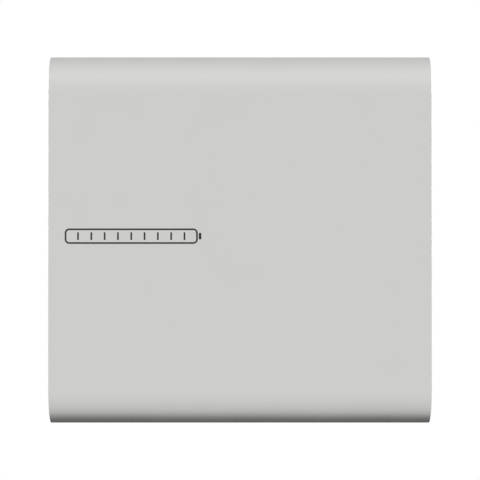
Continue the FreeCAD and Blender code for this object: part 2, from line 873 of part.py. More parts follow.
def end_plates():
    """The ribbed plates that clamp each stack of cells."""
    plates = []
    ends = ((stack_left, stack_left), (stack_right - s.end_plate_gauge, stack_right - 6))
    for base in module_bases:
        for x, pocket_x in ends:
            right = x + s.end_plate_gauge
            plate = block(x, right, stack_front, stack_rear, base, base + s.cell_tall - 5)
            pockets = []
            for y in (-79, -110, -141):
                for z in (base + rise for rise in (20, 60, 136, 172)):
                    pockets.append(block(pocket_x, pocket_x + 6, y - 11, y + 11, z - 10, z + 10))
            hole = rod((x, -MODULE_BOLT_LEVEL, base + BRACKET_RISE), RIGHT, 3.2, s.end_plate_gauge)
            plates.append(cut(plate, *pockets, hole))
    node("end_plates", *plates)


def straps():
    """Two steel bands round each stack."""
    gap, gauge, width = 0.1, 0.8, 14
    bands = []
    for low in (base + rise for base in module_bases for rise in (33, 147)):
        loops = []
        for margin in (gap + gauge, gap):
            sides = (stack_left - margin, stack_right + margin, stack_front - margin, stack_rear + margin)
            loops.append(block(*sides, low, low + width))
        bands.append(cut(*loops))
    node("straps", *bands)


def module_lids():
    """The clear insulating channels over the busbars."""
    wall, lift, height = 1.5, 0.2, 16
    left, right = stack_left + s.end_plate_gauge, stack_right - s.end_plate_gauge
    lids = []
    for can_top in (base + s.cell_tall for base in module_bases):
        low = can_top + lift
        outside = block(left, right, stack_front, stack_rear, low, can_top + height)
        inside = block(left, right, stack_front + wall, stack_rear - wall, low, can_top + height - wall)
        lids.append(cut(outside, inside))
    node("module_lids", *lids)


def sense_strips():
    """The flexible strip that carries the cell voltages along the top of each stack, and its plug."""
    strips = []
    left, right = stack_left + s.end_plate_gauge + 6, stack_right - 20
    for can_top in (base + s.cell_tall for base in module_bases):
        strips.append(block(left, right, SENSE_Y - 6, SENSE_Y + 6, can_top + 1, can_top + 1.5))
        strips.append(block(right, right + 10, SENSE_Y - 8, SENSE_Y + 8, can_top + 0.5, can_top + 8.5))
    node("sense_strips", *strips)


def module_shelves():
    """The folded shelf that each module stands on, screwed to the back plate."""
    gauge, rear, front = s.shelf_gauge, -tray_floor, stack_front - 6
    left = stack_left - 22
    shelves = []
    for base in module_bases:
        profile = [
            (rear, base),
            (front, base),
            (front, base + 12),
            (front - gauge, base + 12),
            (front - gauge, base - gauge),
            (rear - gauge, base - gauge),
            (rear - gauge, base - gauge - 20),
            (rear, base - gauge - 20),
        ]
        shelf = Piece("module_shelf")
        shelf.pad("YZ", left, s.partition_left - 0.2 - left, [profile])
        holes = [(x, base - gauge - 11, 2.7) for x in SHELF_SCREW_PLACES]
        shelf.pocket("XZ", tray_floor + gauge + 1, gauge + 2, holes)
        shelves.append(shelf.body)
    node("module_shelves", *shelves)


def module_brackets():
    """Angle brackets that tie the left end of each module to the back plate."""
    rear = -tray_floor
    brackets = []
    for middle in (base + BRACKET_RISE for base in module_bases):
        wing = block(stack_left - 2, stack_left - 0.1, rear - 50, rear, middle - 20, middle + 20)
        foot = block(stack_left - 21, stack_left - 2, rear - 2, rear, middle - 20, middle + 20)
        side_hole = rod((stack_left - 3, -MODULE_BOLT_LEVEL, middle), RIGHT, 3.2, 4)
        rear_hole = rod((stack_left - 12, rear - 3, middle), TO_WALL, 2.7, 4)
        brackets.append(cut(fuse(wing, foot), side_hole, rear_hole))
    node("module_brackets", *brackets)


def chassis_screws():
    """The screws of the back plate, the modules, the gland plate and the management board."""
    screws = []
    for x, z, stand, length in back_plate_screws():
        screws.append(screw((x, -tray_floor - stand, z), TO_WALL, 2.5, length))
    for middle in (base + BRACKET_RISE for base in module_bases):
        screws.append(screw((stack_left - 2, -MODULE_BOLT_LEVEL, middle), RIGHT, 3, 11))
        screws.append(screw((partition_right, -MODULE_BOLT_LEVEL, middle), LEFT, 3, 11))
    screws += [screw((x, y, s.bay_roof), UP, 2, 8) for x, y in gland_plate_screws()]
    screws += [screw((x, board_face, z), TO_WALL, 1.5, 8) for x, z in board_corners()]
    node("chassis_screws", *screws)


# ---------------------------------------------------------------- partition


def grommet_places():
    """Place, hole radius and bore radius of each grommet in the partition."""
    places = []
    power_bore, sense_bore = s.power_cable_radius + 0.1, s.sense_cable_radius + 0.1
    for can_top in (base + s.cell_tall for base in module_bases):
        places.append((-terminal_level(-1), can_top + POWER_RISE, 6, power_bore))
        places.append((RETURN_BAR_Y, can_top + POWER_RISE, 6, power_bore))
        places.append((SENSE_Y, can_top + SENSE_RISE, 4, sense_bore))
    return places


def partition():
    """The sheet between the cells and the electronics, with grommets where cables pass."""
    left, gauge, flange = s.partition_left, s.partition_gauge, 15
    rear, front, low, height = -tray_floor, -160, -262, 484
    profile = [
        (left, rear),
        (left, front),
        (partition_right, front),
        (partition_right, rear - gauge),
        (partition_right + flange, rear - gauge),
        (partition_right + flange, rear),
    ]
    sheet = Piece("partition")
    sheet.pad("XY", low, height, [profile])
    holes = [(y, z, hole) for y, z, hole, _ in grommet_places()]
    holes += [(-MODULE_BOLT_LEVEL, base + BRACKET_RISE, 3.2) for base in module_bases]
    sheet.drill("YZ", holes)
    node("partition", sheet.body)

    rings = []
    for y, z, hole, bore in grommet_places():
        ring = fuse(
            rod((left - 0.9, y, z), RIGHT, hole + 1.5, 0.9),
            rod((left, y, z), RIGHT, hole, gauge),
            rod((partition_right, y, z), RIGHT, hole + 1.5, 1.5),
        )
        rings.append(cut(ring, rod((left - 2, y, z), RIGHT, bore, 6)))
    node("cable_grommets", *rings)


# ---------------------------------------------------------------- management board


def board_corners():
    """The mounting holes of the battery management board."""
    inset = 6
    across = (s.board_left + inset, s.board_left + s.board_width - inset)
    upright = (s.board_base + inset, s.board_base + s.board_height - inset)
    return [(x, z) for x in across for z in upright]


def management_board():
    """The battery management board on its pillars."""
    right, high = s.board_left + s.board_width, s.board_base + s.board_height
    board = Piece("management_board")
    holes = [(x, z, 1.7) for x, z in board_corners()]
    outline = rectangle(s.board_left, right, s.board_base, high, 3)
    board.pad("XZ", s.board_level, s.board_gauge, [outline, *holes])
    node("management_board", board.body)

    pillars = []
    for x, z in board_corners():
        pillar = hex_bar((x, -tray_floor, z), TO_FRONT, 4, s.board_level - tray_floor)
        pillars.append(cut(pillar, rod((x, -s.board_level, z), TO_WALL, 1.5, 10)))
    node("board_pillars", *pillars)


def heat_sink():
    """The finned heat sink of the switching transistors."""
    fins, fin_gauge, fin_height, base_gauge = 14, 2, 18, 5
    left, right = s.board_left + 12, s.board_left + s.board_width - 12
    low, high = s.board_base + 92, s.board_base + 148
    seat = -board_face
    sink = Piece("heat_sink")
    sink.pad("XZ", seat, base_gauge, [rectangle(left, right, low, high)])
    sink.pad("XZ", seat + base_gauge, fin_height, [rectangle(left, left + fin_gauge, low, high)])
    sink.repeat("X", (right - left - fin_gauge) / (fins - 1), fins)
    node("heat_sink", sink.body)


def on_board(x, z, width, height, depth):
    """A block on the face of the board, placed from the board's lower left corner."""
    left, low = s.board_left + x, s.board_base + z
    return block(left, left + width, board_face - depth, board_face, low, low + height)


def board_parts():
    """Transistors and chips, capacitors, connectors and power terminals on the board."""
    chips = [on_board(14 + 19 * index, 68, 14, 20, 4.5) for index in range(8)]
    for x, z, width in ((52, 14, 14), (74, 16, 9), (88, 16, 9), (142, 40, 10), (24, 46, 12)):
        chips.append(on_board(x, z, width, width, 2))
    node("board_chips", *[rounded(item, 0.8, TO_FRONT) for item in chips])

    places = [(s.board_left + 48 + 16 * index, board_face, s.board_base + 52) for index in range(5)]
    node("capacitors", *[rod(place, TO_FRONT, 6, 22) for place in places])

    sockets = [on_board(x, 4, 16, 18, 14) for x in (100, 119)]
    headers = [on_board(4, z, 7, 22, 9) for z in (62, 96)]
    node("board_connectors", *sockets, *headers)


def power_terminals():
    """The copper blocks of the board, the studs of the contactor and the fuse, and the bar between."""
    blocks = [on_board(x - 9, 6, 18, 18, 10) for x in BOARD_TERMINALS]
    studs = [rod((CONTACTOR_X, CONTACTOR_FACE, z), TO_FRONT, 4, 16) for z in POWER_STUDS]
    studs += [rod((FUSE_X, FUSE_FACE + 2, z), TO_FRONT, STUD_RADIUS, 16) for z in FUSE_STUDS]
    low_z, clear_x = POWER_STUDS[0], CONTACTOR_X + 25
    low, high = low_z - 8, low_z + 8
    front = block(CONTACTOR_X - 9, clear_x, CONTACTOR_FACE - 2, CONTACTOR_FACE, low, high)
    drop = block(clear_x, clear_x + 2, CONTACTOR_FACE - 2, FUSE_FACE, low, high)
    run = block(clear_x, FUSE_X + 9, FUSE_FACE - 2, FUSE_FACE, low, high)
    holes = [rod((CONTACTOR_X, CONTACTOR_FACE, low_z), TO_FRONT, 4.2, 2)]
    holes.append(rod((FUSE_X, FUSE_FACE, low_z), TO_FRONT, STUD_RADIUS + 0.1, 2))
    node("power_terminals", *blocks, *studs, cut(fuse(front, drop, run), *holes))


# ---------------------------------------------------------------- contactor and fuse


def contactor():
    """The main contactor, a moulded block with a round coil cover."""
    x, low, high = CONTACTOR_X, POWER_STUDS[0] - 8, POWER_STUDS[1] + 8
    body = rounded(block(x - 23, x + 23, CONTACTOR_FACE, -tray_floor, low, high), 4, TO_FRONT)
    cover = rod((x, CONTACTOR_FACE, (low + high) / 2), TO_FRONT, 16, 5)
    node("contactor", fuse(body, cover))


def main_fuse():
    """The main fuse between its two blades, on an insulating base."""
    x, rear = FUSE_X, FUSE_FACE + 2
    low, high = FUSE_STUDS
    plate = block(x - 14, x + 14, rear + 12, -tray_floor, low - 10, high + 10)
    posts = [block(x - 11, x + 11, rear, rear + 12, z - 9, z + 9) for z in FUSE_STUDS]
    node("fuse_base", fuse(plate, *posts))

    body = block(x - 12, x + 12, FUSE_FACE - 21.5, rear - 0.5, low + 18, high - 18)
    node("fuse_body", rounded(body, 4, UP))
    blades = []
    for stud_z, outward in ((low, -1), (high, 1)):
        tip, cap_z = stud_z + outward * 8, stud_z - outward * 16
        blade = between((x - 9, FUSE_FACE, tip), (x + 9, rear, cap_z))
        cap = between((x - 12.5, FUSE_FACE - 22, cap_z), (x + 12.5, rear, cap_z - outward * 2))
        blades.append(cut(fuse(blade, cap), rod((x, FUSE_FACE, stud_z), TO_WALL, STUD_RADIUS + 0.1, 2)))
    node("fuse_blades", *blades)


# ---------------------------------------------------------------- circuit breaker


def breaker_rail():
    """The hat-shaped rail behind the breaker and the bracket that holds it to the back plate."""
    x, z = s.breaker_left, s.breaker_centre
    front, rear = breaker_front - 6, -(s.breaker_level - 6)
    pieces = [block(x - 7.5, x - 6.5, front, rear, z - 13.5, z + 13.5)]
    for side in (-1, 1):
        pieces.append(between((x - 1, front, z + side * 12.5), (x, rear, z + side * 17.5)))
        pieces.append(between((x - 7.5, front, z + side * 12.5), (x, rear, z + side * 13.5)))
    arm = block(x - 10.5, x - 7.5, front, -tray_floor, z - 20, z + 20)
    foot = block(x - 28, x - 10.5, -tray_floor - 3, -tray_floor, z - 20, z + 20)
    node("breaker_rail", fuse(*pieces), fuse(arm, foot))


def breaker_wells():
    """The middle of each terminal well on the breaker's outer face: two poles, at both ends."""
    reach = s.breaker_height / 2 - 9
    heights = (s.breaker_centre - reach, s.breaker_centre + reach)
    return [(s.breaker_left + 30, y, z) for y in POLE_PLACES for z in heights]


def breaker_body():
    """The two-pole circuit breaker, facing out through the window of the right panel."""
    x, z, half = s.breaker_left, s.breaker_centre, s.breaker_height / 2
    front, rear = breaker_front, -s.breaker_level
    base = block(x, x + 42, front, rear, z - half, z + half)
    nose = block(x + 42, x + 64, front, rear, z - 22.5, z + 22.5)
    slot = block(s.lever_pivot - 7, x + 65, front + 4, rear - 4, z - 13, z + 13)
    bearing = rod((s.lever_pivot, front + 2, z), TO_WALL, TRUNNION_RADIUS + RUNNING_GAP, s.breaker_width - 4)
    wells = [rod(well, RIGHT, 3.6, 13) for well in breaker_wells()]
    ports = []
    for y in POLE_PLACES:
        ports.append(block(x + 12, x + 26, y - 6, y + 6, z + half - 12, z + half + 1))
        ports.append(block(x + 12, x + 26, y - 6, y + 6, z - half - 1, z - half + 12))
    node("breaker_body", cut(fuse(base, nose), slot, bearing, *wells, *ports))


def breaker_lever():
    """The lever that throws both poles, resting in its upper, closed-circuit place."""
    x, y, z = s.lever_pivot, breaker_middle, s.breaker_centre
    hub_half, trunnion_half = s.breaker_width / 2 - 4.5, s.breaker_width / 2 - 2.5
    hub = rod((x, y - hub_half, z), TO_WALL, 5.5, 2 * hub_half)
    trunnions = rod((x, y - trunnion_half, z), TO_WALL, TRUNNION_RADIUS, 2 * trunnion_half)
    handle = rounded(block(x, x + 14, y - hub_half, y + hub_half, z - 1.8, z + 1.8), 1.2, TO_WALL)
    lever = fuse(hub, trunnions, handle)
    pivot = FreeCAD.Vector(x.value, y.value, z.value)
    tilt = FreeCAD.Rotation(FreeCAD.Vector(0, -1, 0), LEVER_TILT)
    lever.Placement = FreeCAD.Placement(FreeCAD.Vector(), tilt, pivot)
    node("breaker_lever", lever)


def breaker_flap():
    """The flap over the breaker, which swings up on a pin between two ears on the panel."""
    hinge_x, hinge_z = panel_outer + 2, s.breaker_centre + 34
    left, right, low, middle = panel_outer + 1, panel_outer + 3.4, s.breaker_centre - 31, breaker_middle
    barrel_radius, pin_radius, barrel_half, ear_gap, ear = 1.9, 1, 15, 0.5, 5
    plate = rounded(block(left, right, middle - 28, middle + 28, low, hinge_z - 3), 4, RIGHT)
    web = block(left + 0.6, right, middle - barrel_half, middle + barrel_half, hinge_z - 6, hinge_z)
    barrel = rod((hinge_x, middle - barrel_half, hinge_z), TO_WALL, barrel_radius, 2 * barrel_half)
    grip = block(right, right + 1.6, middle - 10, middle + 10, low + 1, low + 4)
    bore = rod((hinge_x, middle - barrel_half, hinge_z), TO_WALL, pin_radius + 0.05, 2 * barrel_half)
    node("breaker_flap", cut(fuse(plate, web, barrel, grip), bore))

    hinge = []
    reach = barrel_half + ear_gap + ear
    for rear_y in (middle - reach, middle + reach - ear):
        arm = block(panel_outer, hinge_x, rear_y, rear_y + ear, hinge_z - 1.9, hinge_z + 1.9)
        boss = rod((hinge_x, rear_y, hinge_z), TO_WALL, barrel_radius, ear)
        hinge.append(cut(fuse(arm, boss), rod((hinge_x, rear_y, hinge_z), TO_WALL, pin_radius, ear)))
    hinge.append(rod((hinge_x, middle - reach, hinge_z), TO_WALL, pin_radius, 2 * reach))
    node("flap_hinge", *hinge)


# ---------------------------------------------------------------- power button


def power_button():
    """The push button in the right panel: its housing with nut and switch, the plunger and the spring."""
    face = (panel_outer, -s.button_level, s.button_height)
    body_length, cavity, travel = 26, 12, 2
    rear, shoulder = moved(face, LEFT, body_length), moved(face, LEFT, body_length - 2 - cavity)
    flange_radius, shoulder_radius = BUTTON_BARREL_RADIUS + 3, BUTTON_RADIUS + 1.2
    shell = fuse(rod(face, RIGHT, flange_radius, 2), rod(rear, RIGHT, BUTTON_BARREL_RADIUS, body_length))
    bore = rod(shoulder, RIGHT, BUTTON_RADIUS + RUNNING_GAP, body_length)
    hollow = rod(moved(rear, RIGHT, 2), RIGHT, shoulder_radius + RUNNING_GAP, cavity)
    ring = nut(moved(face, LEFT, s.side_gauge), LEFT, BUTTON_BARREL_RADIUS + 4.5, BUTTON_BARREL_RADIUS, 5)
    x, y, z = rear
    switch = rounded(block(x - 16, x, y - 8, y + 8, z - 8, z + 8), 2, RIGHT)
    node("button_housing", cut(shell, bore, hollow), ring, switch)

    back = moved(shoulder, LEFT, travel)
    length = body_length - 2 - cavity + travel + 2 + 2.6
    plunger = fuse(rod(back, RIGHT, shoulder_radius, travel - 0.1), rod(back, RIGHT, BUTTON_RADIUS, length))
    dish = rod(moved(back, RIGHT, length - 0.5), RIGHT, BUTTON_RADIUS - 1.2, 1)
    node("power_button", cut(plunger, dish))

    spring_length, coil_radius, wire_radius, turns = cavity - travel - 0.9, 4.5, 0.4, 5
    helix = Part.makeHelix(spring_length / turns, spring_length, coil_radius)
    section = Part.Wire(
        Part.makeCircle(wire_radius, FreeCAD.Vector(coil_radius, 0, 0), FreeCAD.Vector(0, 1, 0))
    )
    coil = Part.Wire(helix.Edges).makePipeShell([section], True, True)
    spring = doc.addObject("Part::Feature", "button_spring")
    spring.Shape = coil
    seat = moved(rear, RIGHT, 2 + wire_radius + 0.05)
    spring.Placement = FreeCAD.Placement(
        FreeCAD.Vector(*[number.value for number in seat]),
        FreeCAD.Rotation(FreeCAD.Vector(0, 0, 1), FreeCAD.Vector(1, 0, 0)),
    )
    node("button_spring", spring)


# ---------------------------------------------------------------- lugs and cables


def lug_places():
    """For each lug: the stud's place on the face it lies on, its direction, and that face's normal.

    Then comes how far the cable's axis stands off the face, and the stud's radius.
    """
    lower, upper = (base + s.cell_tall for base in module_bases)
    last_x, rear_y = cell_centre(CELLS - 1), -terminal_level(-1)
    board_x = [s.board_left + x for x in BOARD_TERMINALS]
    board_y, board_z = board_face - 10, s.board_base + 15
    return {
        "link_low": ((last_x, rear_y, lower + s.terminal_pad), RIGHT, UP, 5, STUD_RADIUS),
        "link_high": ((last_x, rear_y, upper + s.terminal_pad), RIGHT, UP, 5, STUD_RADIUS),
        "pack_negative": ((return_bolt_x, RETURN_BAR_Y, lower + bar_high), RIGHT, UP, 3, STUD_RADIUS),
        "pack_positive": ((return_bolt_x, RETURN_BAR_Y, upper + bar_high), RIGHT, UP, 3, STUD_RADIUS),
        "fuse": ((FUSE_X, FUSE_FACE, FUSE_STUDS[1]), UP, TO_FRONT, 5.3, STUD_RADIUS),
        "contactor": ((CONTACTOR_X, CONTACTOR_FACE, POWER_STUDS[1]), UP, TO_FRONT, 5.3, 4),
        "board_left": ((board_x[0], board_y, board_z), DOWN, TO_FRONT, 5.3, STUD_RADIUS),
        "board_right": ((board_x[1], board_y, board_z), DOWN, TO_FRONT, 5.3, STUD_RADIUS),
    }


def cable_end(place):
    """Where a cable ends inside the barrel of its lug."""
    foot, direction, normal, rise, _ = place
    return moved(moved(foot, direction, LUG_REACH), normal, rise)


def lug(place):
    """A crimped lug: a flat tongue with a hole for the stud, and a barrel round the cable's end."""
    foot, direction, normal, rise, stud_radius = place
    across = tuple(1 - abs(a) - abs(b) for a, b in zip(direction, normal))
    near = moved(moved(foot, direction, -8), across, -7)
    far = moved(moved(moved(foot, direction, LUG_REACH), across, 7), normal, 2)
    start = moved(moved(foot, direction, LUG_REACH - 1), normal, rise)
    barrel = rod(start, direction, s.power_cable_radius + 1.3, 11)
    bore = rod(cable_end(place), direction, s.power_cable_radius + 0.02, 12)
    return cut(fuse(between(near, far), barrel), bore, rod(foot, normal, stud_radius + 0.1, 2))


def cable_lugs():
    """The lugs of the power cables, and the nuts and bolts that hold them."""
    node("cable_lugs", *[lug(place) for place in lug_places().values()])


def power_nuts():
    """The nuts of the contactor and the fuse, the bolts of the board's terminals and the breaker's screws."""
    held = CONTACTOR_FACE - 2
    items = [nut((CONTACTOR_X, held, z), TO_FRONT, 7.5, 4, 5) for z in POWER_STUDS]
    items += [nut((FUSE_X, FUSE_FACE - 2, z), TO_FRONT, 5.8, STUD_RADIUS, 5) for z in FUSE_STUDS]
    for x in BOARD_TERMINALS:
        items.append(hex_bar((s.board_left + x, board_face - 12, s.board_base + 15), TO_FRONT, 5.8, 4))
    for x, y, z in breaker_wells():
        head = rod((x, y, z), RIGHT, 3.4, 8)
        items.append(cut(head, block(x + 7, x + 8, y - 4, y + 4, z - 0.5, z + 0.5)))
    return items


def rounded_path(points, radii):
    """Straight runs through the points, joined by tangent arcs of the given radii."""
    edges, start = [], points[0]
    for before, corner, after, radius in zip(points, points[1:], points[2:], radii):
        back, ahead = (before - corner).normalize(), (after - corner).normalize()
        half_turn = (math.pi - back.getAngle(ahead)) / 2
        reach = radius * math.tan(half_turn)
        first, last = corner + back * reach, corner + ahead * reach
        middle = corner + (back + ahead).normalize() * (radius / math.cos(half_turn) - radius)
        edges += [Part.makeLine(start, first), Part.Arc(first, middle, last).toShape()]
        start = last
    edges.append(Part.makeLine(start, points[-1]))
    return Part.Wire(edges)


def bend_radii(points):
    """For each inner point, the arc that takes 0.45 of its shorter run."""
    radii = []
    for before, corner, after in zip(points, points[1:], points[2:]):
        back, ahead = before - corner, after - corner
        half_turn = (math.pi - back.getAngle(ahead)) / 2
        radii.append(0.45 * min(back.Length, ahead.Length) / math.tan(half_turn))
    return radii


def cable(label, radius, route):
    """A fixed cable along a route of points, as one solid swept along runs and arcs."""
    points = [FreeCAD.Vector(*[size(number).value for number in point]) for point in route]
    radii = bend_radii(points)
    path = rounded_path(points, radii)
    section = Part.Wire(Part.makeCircle(radius.value, points[0], points[1] - points[0]))
    solid = path.makePipeShell([section], True, False)
    expected = math.pi * radius.value**2 * path.Length
    if abs(solid.Volume - expected) > 0.01 * expected:
        raise ValueError(f"{label}: the swept volume is {solid.Volume:.0f}, not {expected:.0f} mm3")
    print(f"{label}: {path.Length:.0f} mm, bends of {', '.join(f'{bend:.0f}' for bend in radii)} mm")
    item = doc.addObject("Part::Feature", label)
    item.Shape = solid
    return item


def power_cables():
    """The cables from the modules through the fuse, the contactor and the board to the breaker."""
    radius = s.power_cable_radius
    ends = {name: cable_end(place) for name, place in lug_places().items()}
    start, finish = ends["link_low"], ends["link_high"]
    riser_x = 82
    link = [start, (riser_x, *start[1:]), (riser_x, *finish[1:]), finish]

    x, y, z = ends["pack_positive"]
    fuse_x, fuse_y, fuse_z = ends["fuse"]
    positive = [
        ends["pack_positive"],
        (78, y, z),
        (118, -96, z - 6),
        (144, -102, z - 45),
        (fuse_x, -102, 62),
        (fuse_x, fuse_y, fuse_z + 26),
        ends["fuse"],
    ]
    x, y, z = ends["pack_negative"]
    board_x, board_y, board_z = ends["board_left"]
    negative = [ends["pack_negative"], (86, y, z), (board_x, board_y, 4), ends["board_left"]]

    port_x, port_z = s.breaker_left + 19, s.breaker_centre + s.breaker_height / 2 - 8
    rear_pole, front_pole = POLE_PLACES
    right_x, right_y, right_z = ends["board_right"]
    board = [
        ends["board_right"],
        (right_x, right_y, right_z - 19),
        (port_x, rear_pole, port_z + 12),
        (port_x, rear_pole, port_z),
    ]
    contact_x, contact_y, contact_z = ends["contactor"]
    contactor = [
        ends["contactor"],
        (contact_x, contact_y, contact_z + 26),
        (contact_x + 29, -101, contact_z + 44),
        (190, -101, contact_z + 58),
        (port_x, front_pole, port_z + 36),
        (port_x, front_pole, port_z),
    ]
    node(
        "positive_cables",
        cable("positive_cable", radius, positive),
        cable("contactor_cable", radius, contactor),
    )
    node(
        "negative_cables",
        cable("link_cable", radius, link),
        cable("negative_cable", radius, negative),
        cable("board_cable", radius, board),
    )


def sense_leads():
    """The thin leads from the sense strips to their headers on the board."""
    radius, plug_x = s.sense_cable_radius, stack_right - 10
    lower, upper = (base + s.cell_tall + SENSE_RISE for base in module_bases)
    x, y = s.board_left + 7.5, board_face - 9
    low_z, high_z = s.board_base + 73, s.board_base + 107
    long_route = [
        (plug_x, SENSE_Y, lower),
        (78, SENSE_Y, lower),
        (84, SENSE_Y + 3, 40),
        (x, -106, low_z),
        (x, y, low_z),
    ]
    short_route = [(plug_x, SENSE_Y, upper), (78, SENSE_Y, upper), (x, -108, high_z), (x, y, high_z)]
    node(
        "sense_leads",
        cable("long_sense_lead", radius, long_route),
        cable("short_sense_lead", radius, short_route),
    )


# ---------------------------------------------------------------- assembly

s = make_sheet()

# Places worked out from the sheet
top = s.unit_height / 2
half_width = s.unit_width / 2
panel_outer = half_width - s.side_recess
panel_inner = panel_outer - s.side_gauge
tray_floor = s.tray_level + s.tray_gauge
stack_half = (s.cell_thick * CELLS + s.cell_gap * (CELLS - 1)) / 2 + s.end_plate_gauge
stack_left, stack_right = s.stack_centre - stack_half, s.stack_centre + stack_half
stack_rear, stack_front = -s.stack_rear_level, -(s.stack_rear_level + s.cell_deep)
module_bases = (s.lower_base, s.upper_base)
bar_high = s.terminal_pad + s.busbar_gauge
return_bolt_x = stack_right - 22
partition_right = s.partition_left + s.partition_gauge
board_face = -(s.board_level + s.board_gauge)
breaker_front = -(s.breaker_level + s.breaker_width)
breaker_middle = -(s.breaker_level + s.breaker_width / 2)


def build():
    """Makes every sub-part."""
    front_cover()
    front_emblem()
    cover_sockets()
    cover_screws()
    side_panels()
    edge_seals()
    side_panel_screws()
    breather_vent()
    chassis_tray()
    wall_plate()
    hanging_rail()
    lock_parts()
    wall_buffers()
    guide_pins()
    cable_bay()
    cable_glands()
    earth_stud()
    cells()
    cell_terminals()
    busbars()
    end_plates()
    straps()
    module_lids()
    sense_strips()
    module_shelves()
    module_brackets()
    chassis_screws()
    partition()
    management_board()
    heat_sink()
    board_parts()
    power_terminals()
    contactor()
    main_fuse()
    breaker_rail()
    breaker_body()
    breaker_lever()
    breaker_flap()
    power_button()
    cable_lugs()
    power_cables()
    sense_leads()


def check_and_export():
    """Stops on any failed object or shape, and then writes one STEP file for each sub-part."""
    doc.recompute()
    for item in doc.Objects:
        if {"Invalid", "Error"} & set(item.State):
            raise ValueError(f"{item.Name} failed: {item.State}")
    for item in nodes:
        if item.Shape.isNull() or not item.Shape.isValid() or not item.Shape.Solids:
            raise ValueError(f"{item.Label} has no valid solid")
    os.makedirs(PARTS_FOLDER, exist_ok=True)
    for item in nodes:
        item.Shape.exportStep(os.path.join(PARTS_FOLDER, f"{item.Label}.step"))
    print(f"{len(nodes)} sub-parts, {sum(len(item.Shape.Solids) for item in nodes)} solids")


build()
check_and_export()
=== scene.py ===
"""Wall battery unit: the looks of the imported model. Shapes are made in millimetres, in the model's frame."""

import itertools
import json
import math
import random

import bmesh
import bpy
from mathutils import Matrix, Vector

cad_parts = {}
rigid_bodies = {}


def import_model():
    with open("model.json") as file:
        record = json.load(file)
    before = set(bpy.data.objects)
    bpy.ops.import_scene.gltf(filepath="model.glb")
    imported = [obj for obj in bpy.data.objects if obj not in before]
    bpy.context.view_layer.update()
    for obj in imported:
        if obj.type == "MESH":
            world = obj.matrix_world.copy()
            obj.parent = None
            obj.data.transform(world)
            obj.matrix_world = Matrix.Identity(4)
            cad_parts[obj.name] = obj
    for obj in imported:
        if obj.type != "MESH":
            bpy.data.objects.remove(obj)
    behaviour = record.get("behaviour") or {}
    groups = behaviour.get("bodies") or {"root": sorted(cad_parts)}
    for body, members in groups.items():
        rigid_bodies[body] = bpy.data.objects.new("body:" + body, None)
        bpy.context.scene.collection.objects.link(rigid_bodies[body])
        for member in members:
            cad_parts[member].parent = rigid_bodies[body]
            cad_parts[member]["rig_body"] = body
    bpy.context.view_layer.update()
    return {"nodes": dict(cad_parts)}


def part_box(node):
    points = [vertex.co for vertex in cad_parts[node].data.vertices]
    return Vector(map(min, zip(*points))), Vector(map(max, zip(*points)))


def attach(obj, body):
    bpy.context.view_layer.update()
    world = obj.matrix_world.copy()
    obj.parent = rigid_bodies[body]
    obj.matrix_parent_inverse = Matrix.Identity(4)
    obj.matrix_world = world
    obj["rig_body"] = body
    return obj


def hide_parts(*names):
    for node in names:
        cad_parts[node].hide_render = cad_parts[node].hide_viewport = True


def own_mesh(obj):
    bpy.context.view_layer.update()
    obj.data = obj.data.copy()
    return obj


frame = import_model()
nodes = frame["nodes"]
slot_of = {name: item.material_slots[0].material.name for name, item in nodes.items()}

MM = 0.001
UP, RIGHT, TO_FRONT = Vector((0, 0, 1)), Vector((1, 0, 0)), Vector((0, -1, 0))
TURN_SEGMENTS, SMALL_SEGMENTS = 36, 24
THREAD_PITCH = 1.0
HEAD_RATIO, HEAD_HEIGHT = 1.8, 1.2     # of a socket screw's head, against the radius of its shank
FLAT = 0.87                            # a hexagon's distance to its flats, against that to its corners


# ---------------------------------------------------------------- finishes


def linear(colour):
    """A 0-255 screen colour as a linear colour with alpha."""
    parts = [c / 255 for c in colour]
    return [c / 12.92 if c <= 0.04045 else ((c + 0.055) / 1.055) ** 2.4 for c in parts] + [1.0]


def put(tree, kind, inputs, **settings):
    """Adds a shader node; inputs are numbers, colours or sockets to link."""
    made = tree.nodes.new(f"ShaderNode{kind}")
    for key, value in settings.items():
        setattr(made, key, value)
    for key, value in inputs.items():
        if isinstance(value, bpy.types.NodeSocket):
            tree.links.new(value, made.inputs[key])
        else:
            made.inputs[key].default_value = value
    return made


def noise(tree, place, size, detail=3.0):
    """Noise whose features are about the size in millimetres."""
    inputs = {"Vector": place, "Scale": 1000 / size, "Detail": detail}
    return put(tree, "TexNoise", inputs).outputs["Fac"]


def between_shades(tree, factor, colour, share):
    """The colour made darker and lighter by the share as the factor goes from 0.3 to 0.7."""
    ramp = put(tree, "ValToRGB", {"Fac": factor})
    for stop, place, gain in zip(ramp.color_ramp.elements, (0.3, 0.7), (1 - share, 1 + share)):
        stop.position = place
        stop.color = [min(1.0, c * gain) for c in linear(colour)[:3]] + [1.0]
    return ramp.outputs["Color"]


finish_of = {}


def finish(make):
    """Makes a finish and keeps it under its function's name."""
    finish_of[make.__name__] = made = make()
    made.name = f"{make.__name__}_finish"
    return make


def blank(sockets):
    """A new material, its tree and its shader, with constants on the shader's own sockets."""
    made = bpy.data.materials.new("finish")
    made.use_nodes = True
    shader = made.node_tree.nodes["Principled BSDF"]
    for key, value in sockets.items():
        shader.inputs[key].default_value = value
    return made, made.node_tree, shader


def roughen(tree, shader, factor, start, end):
    """Takes the factor's range to a range of roughness."""
    limits = {"Value": factor, "From Min": start[0], "From Max": start[1], "To Min": end[0], "To Max": end[1]}
    tree.links.new(put(tree, "MapRange", limits).outputs["Result"], shader.inputs["Roughness"])


def grind(tree, shader, height, depth):
    """Gives the surface a fine relief of a depth in mm."""
    bump = put(tree, "Bump", {"Height": height, "Distance": depth * MM, "Strength": 1.0})
    tree.links.new(bump.outputs["Normal"], shader.inputs["Normal"])


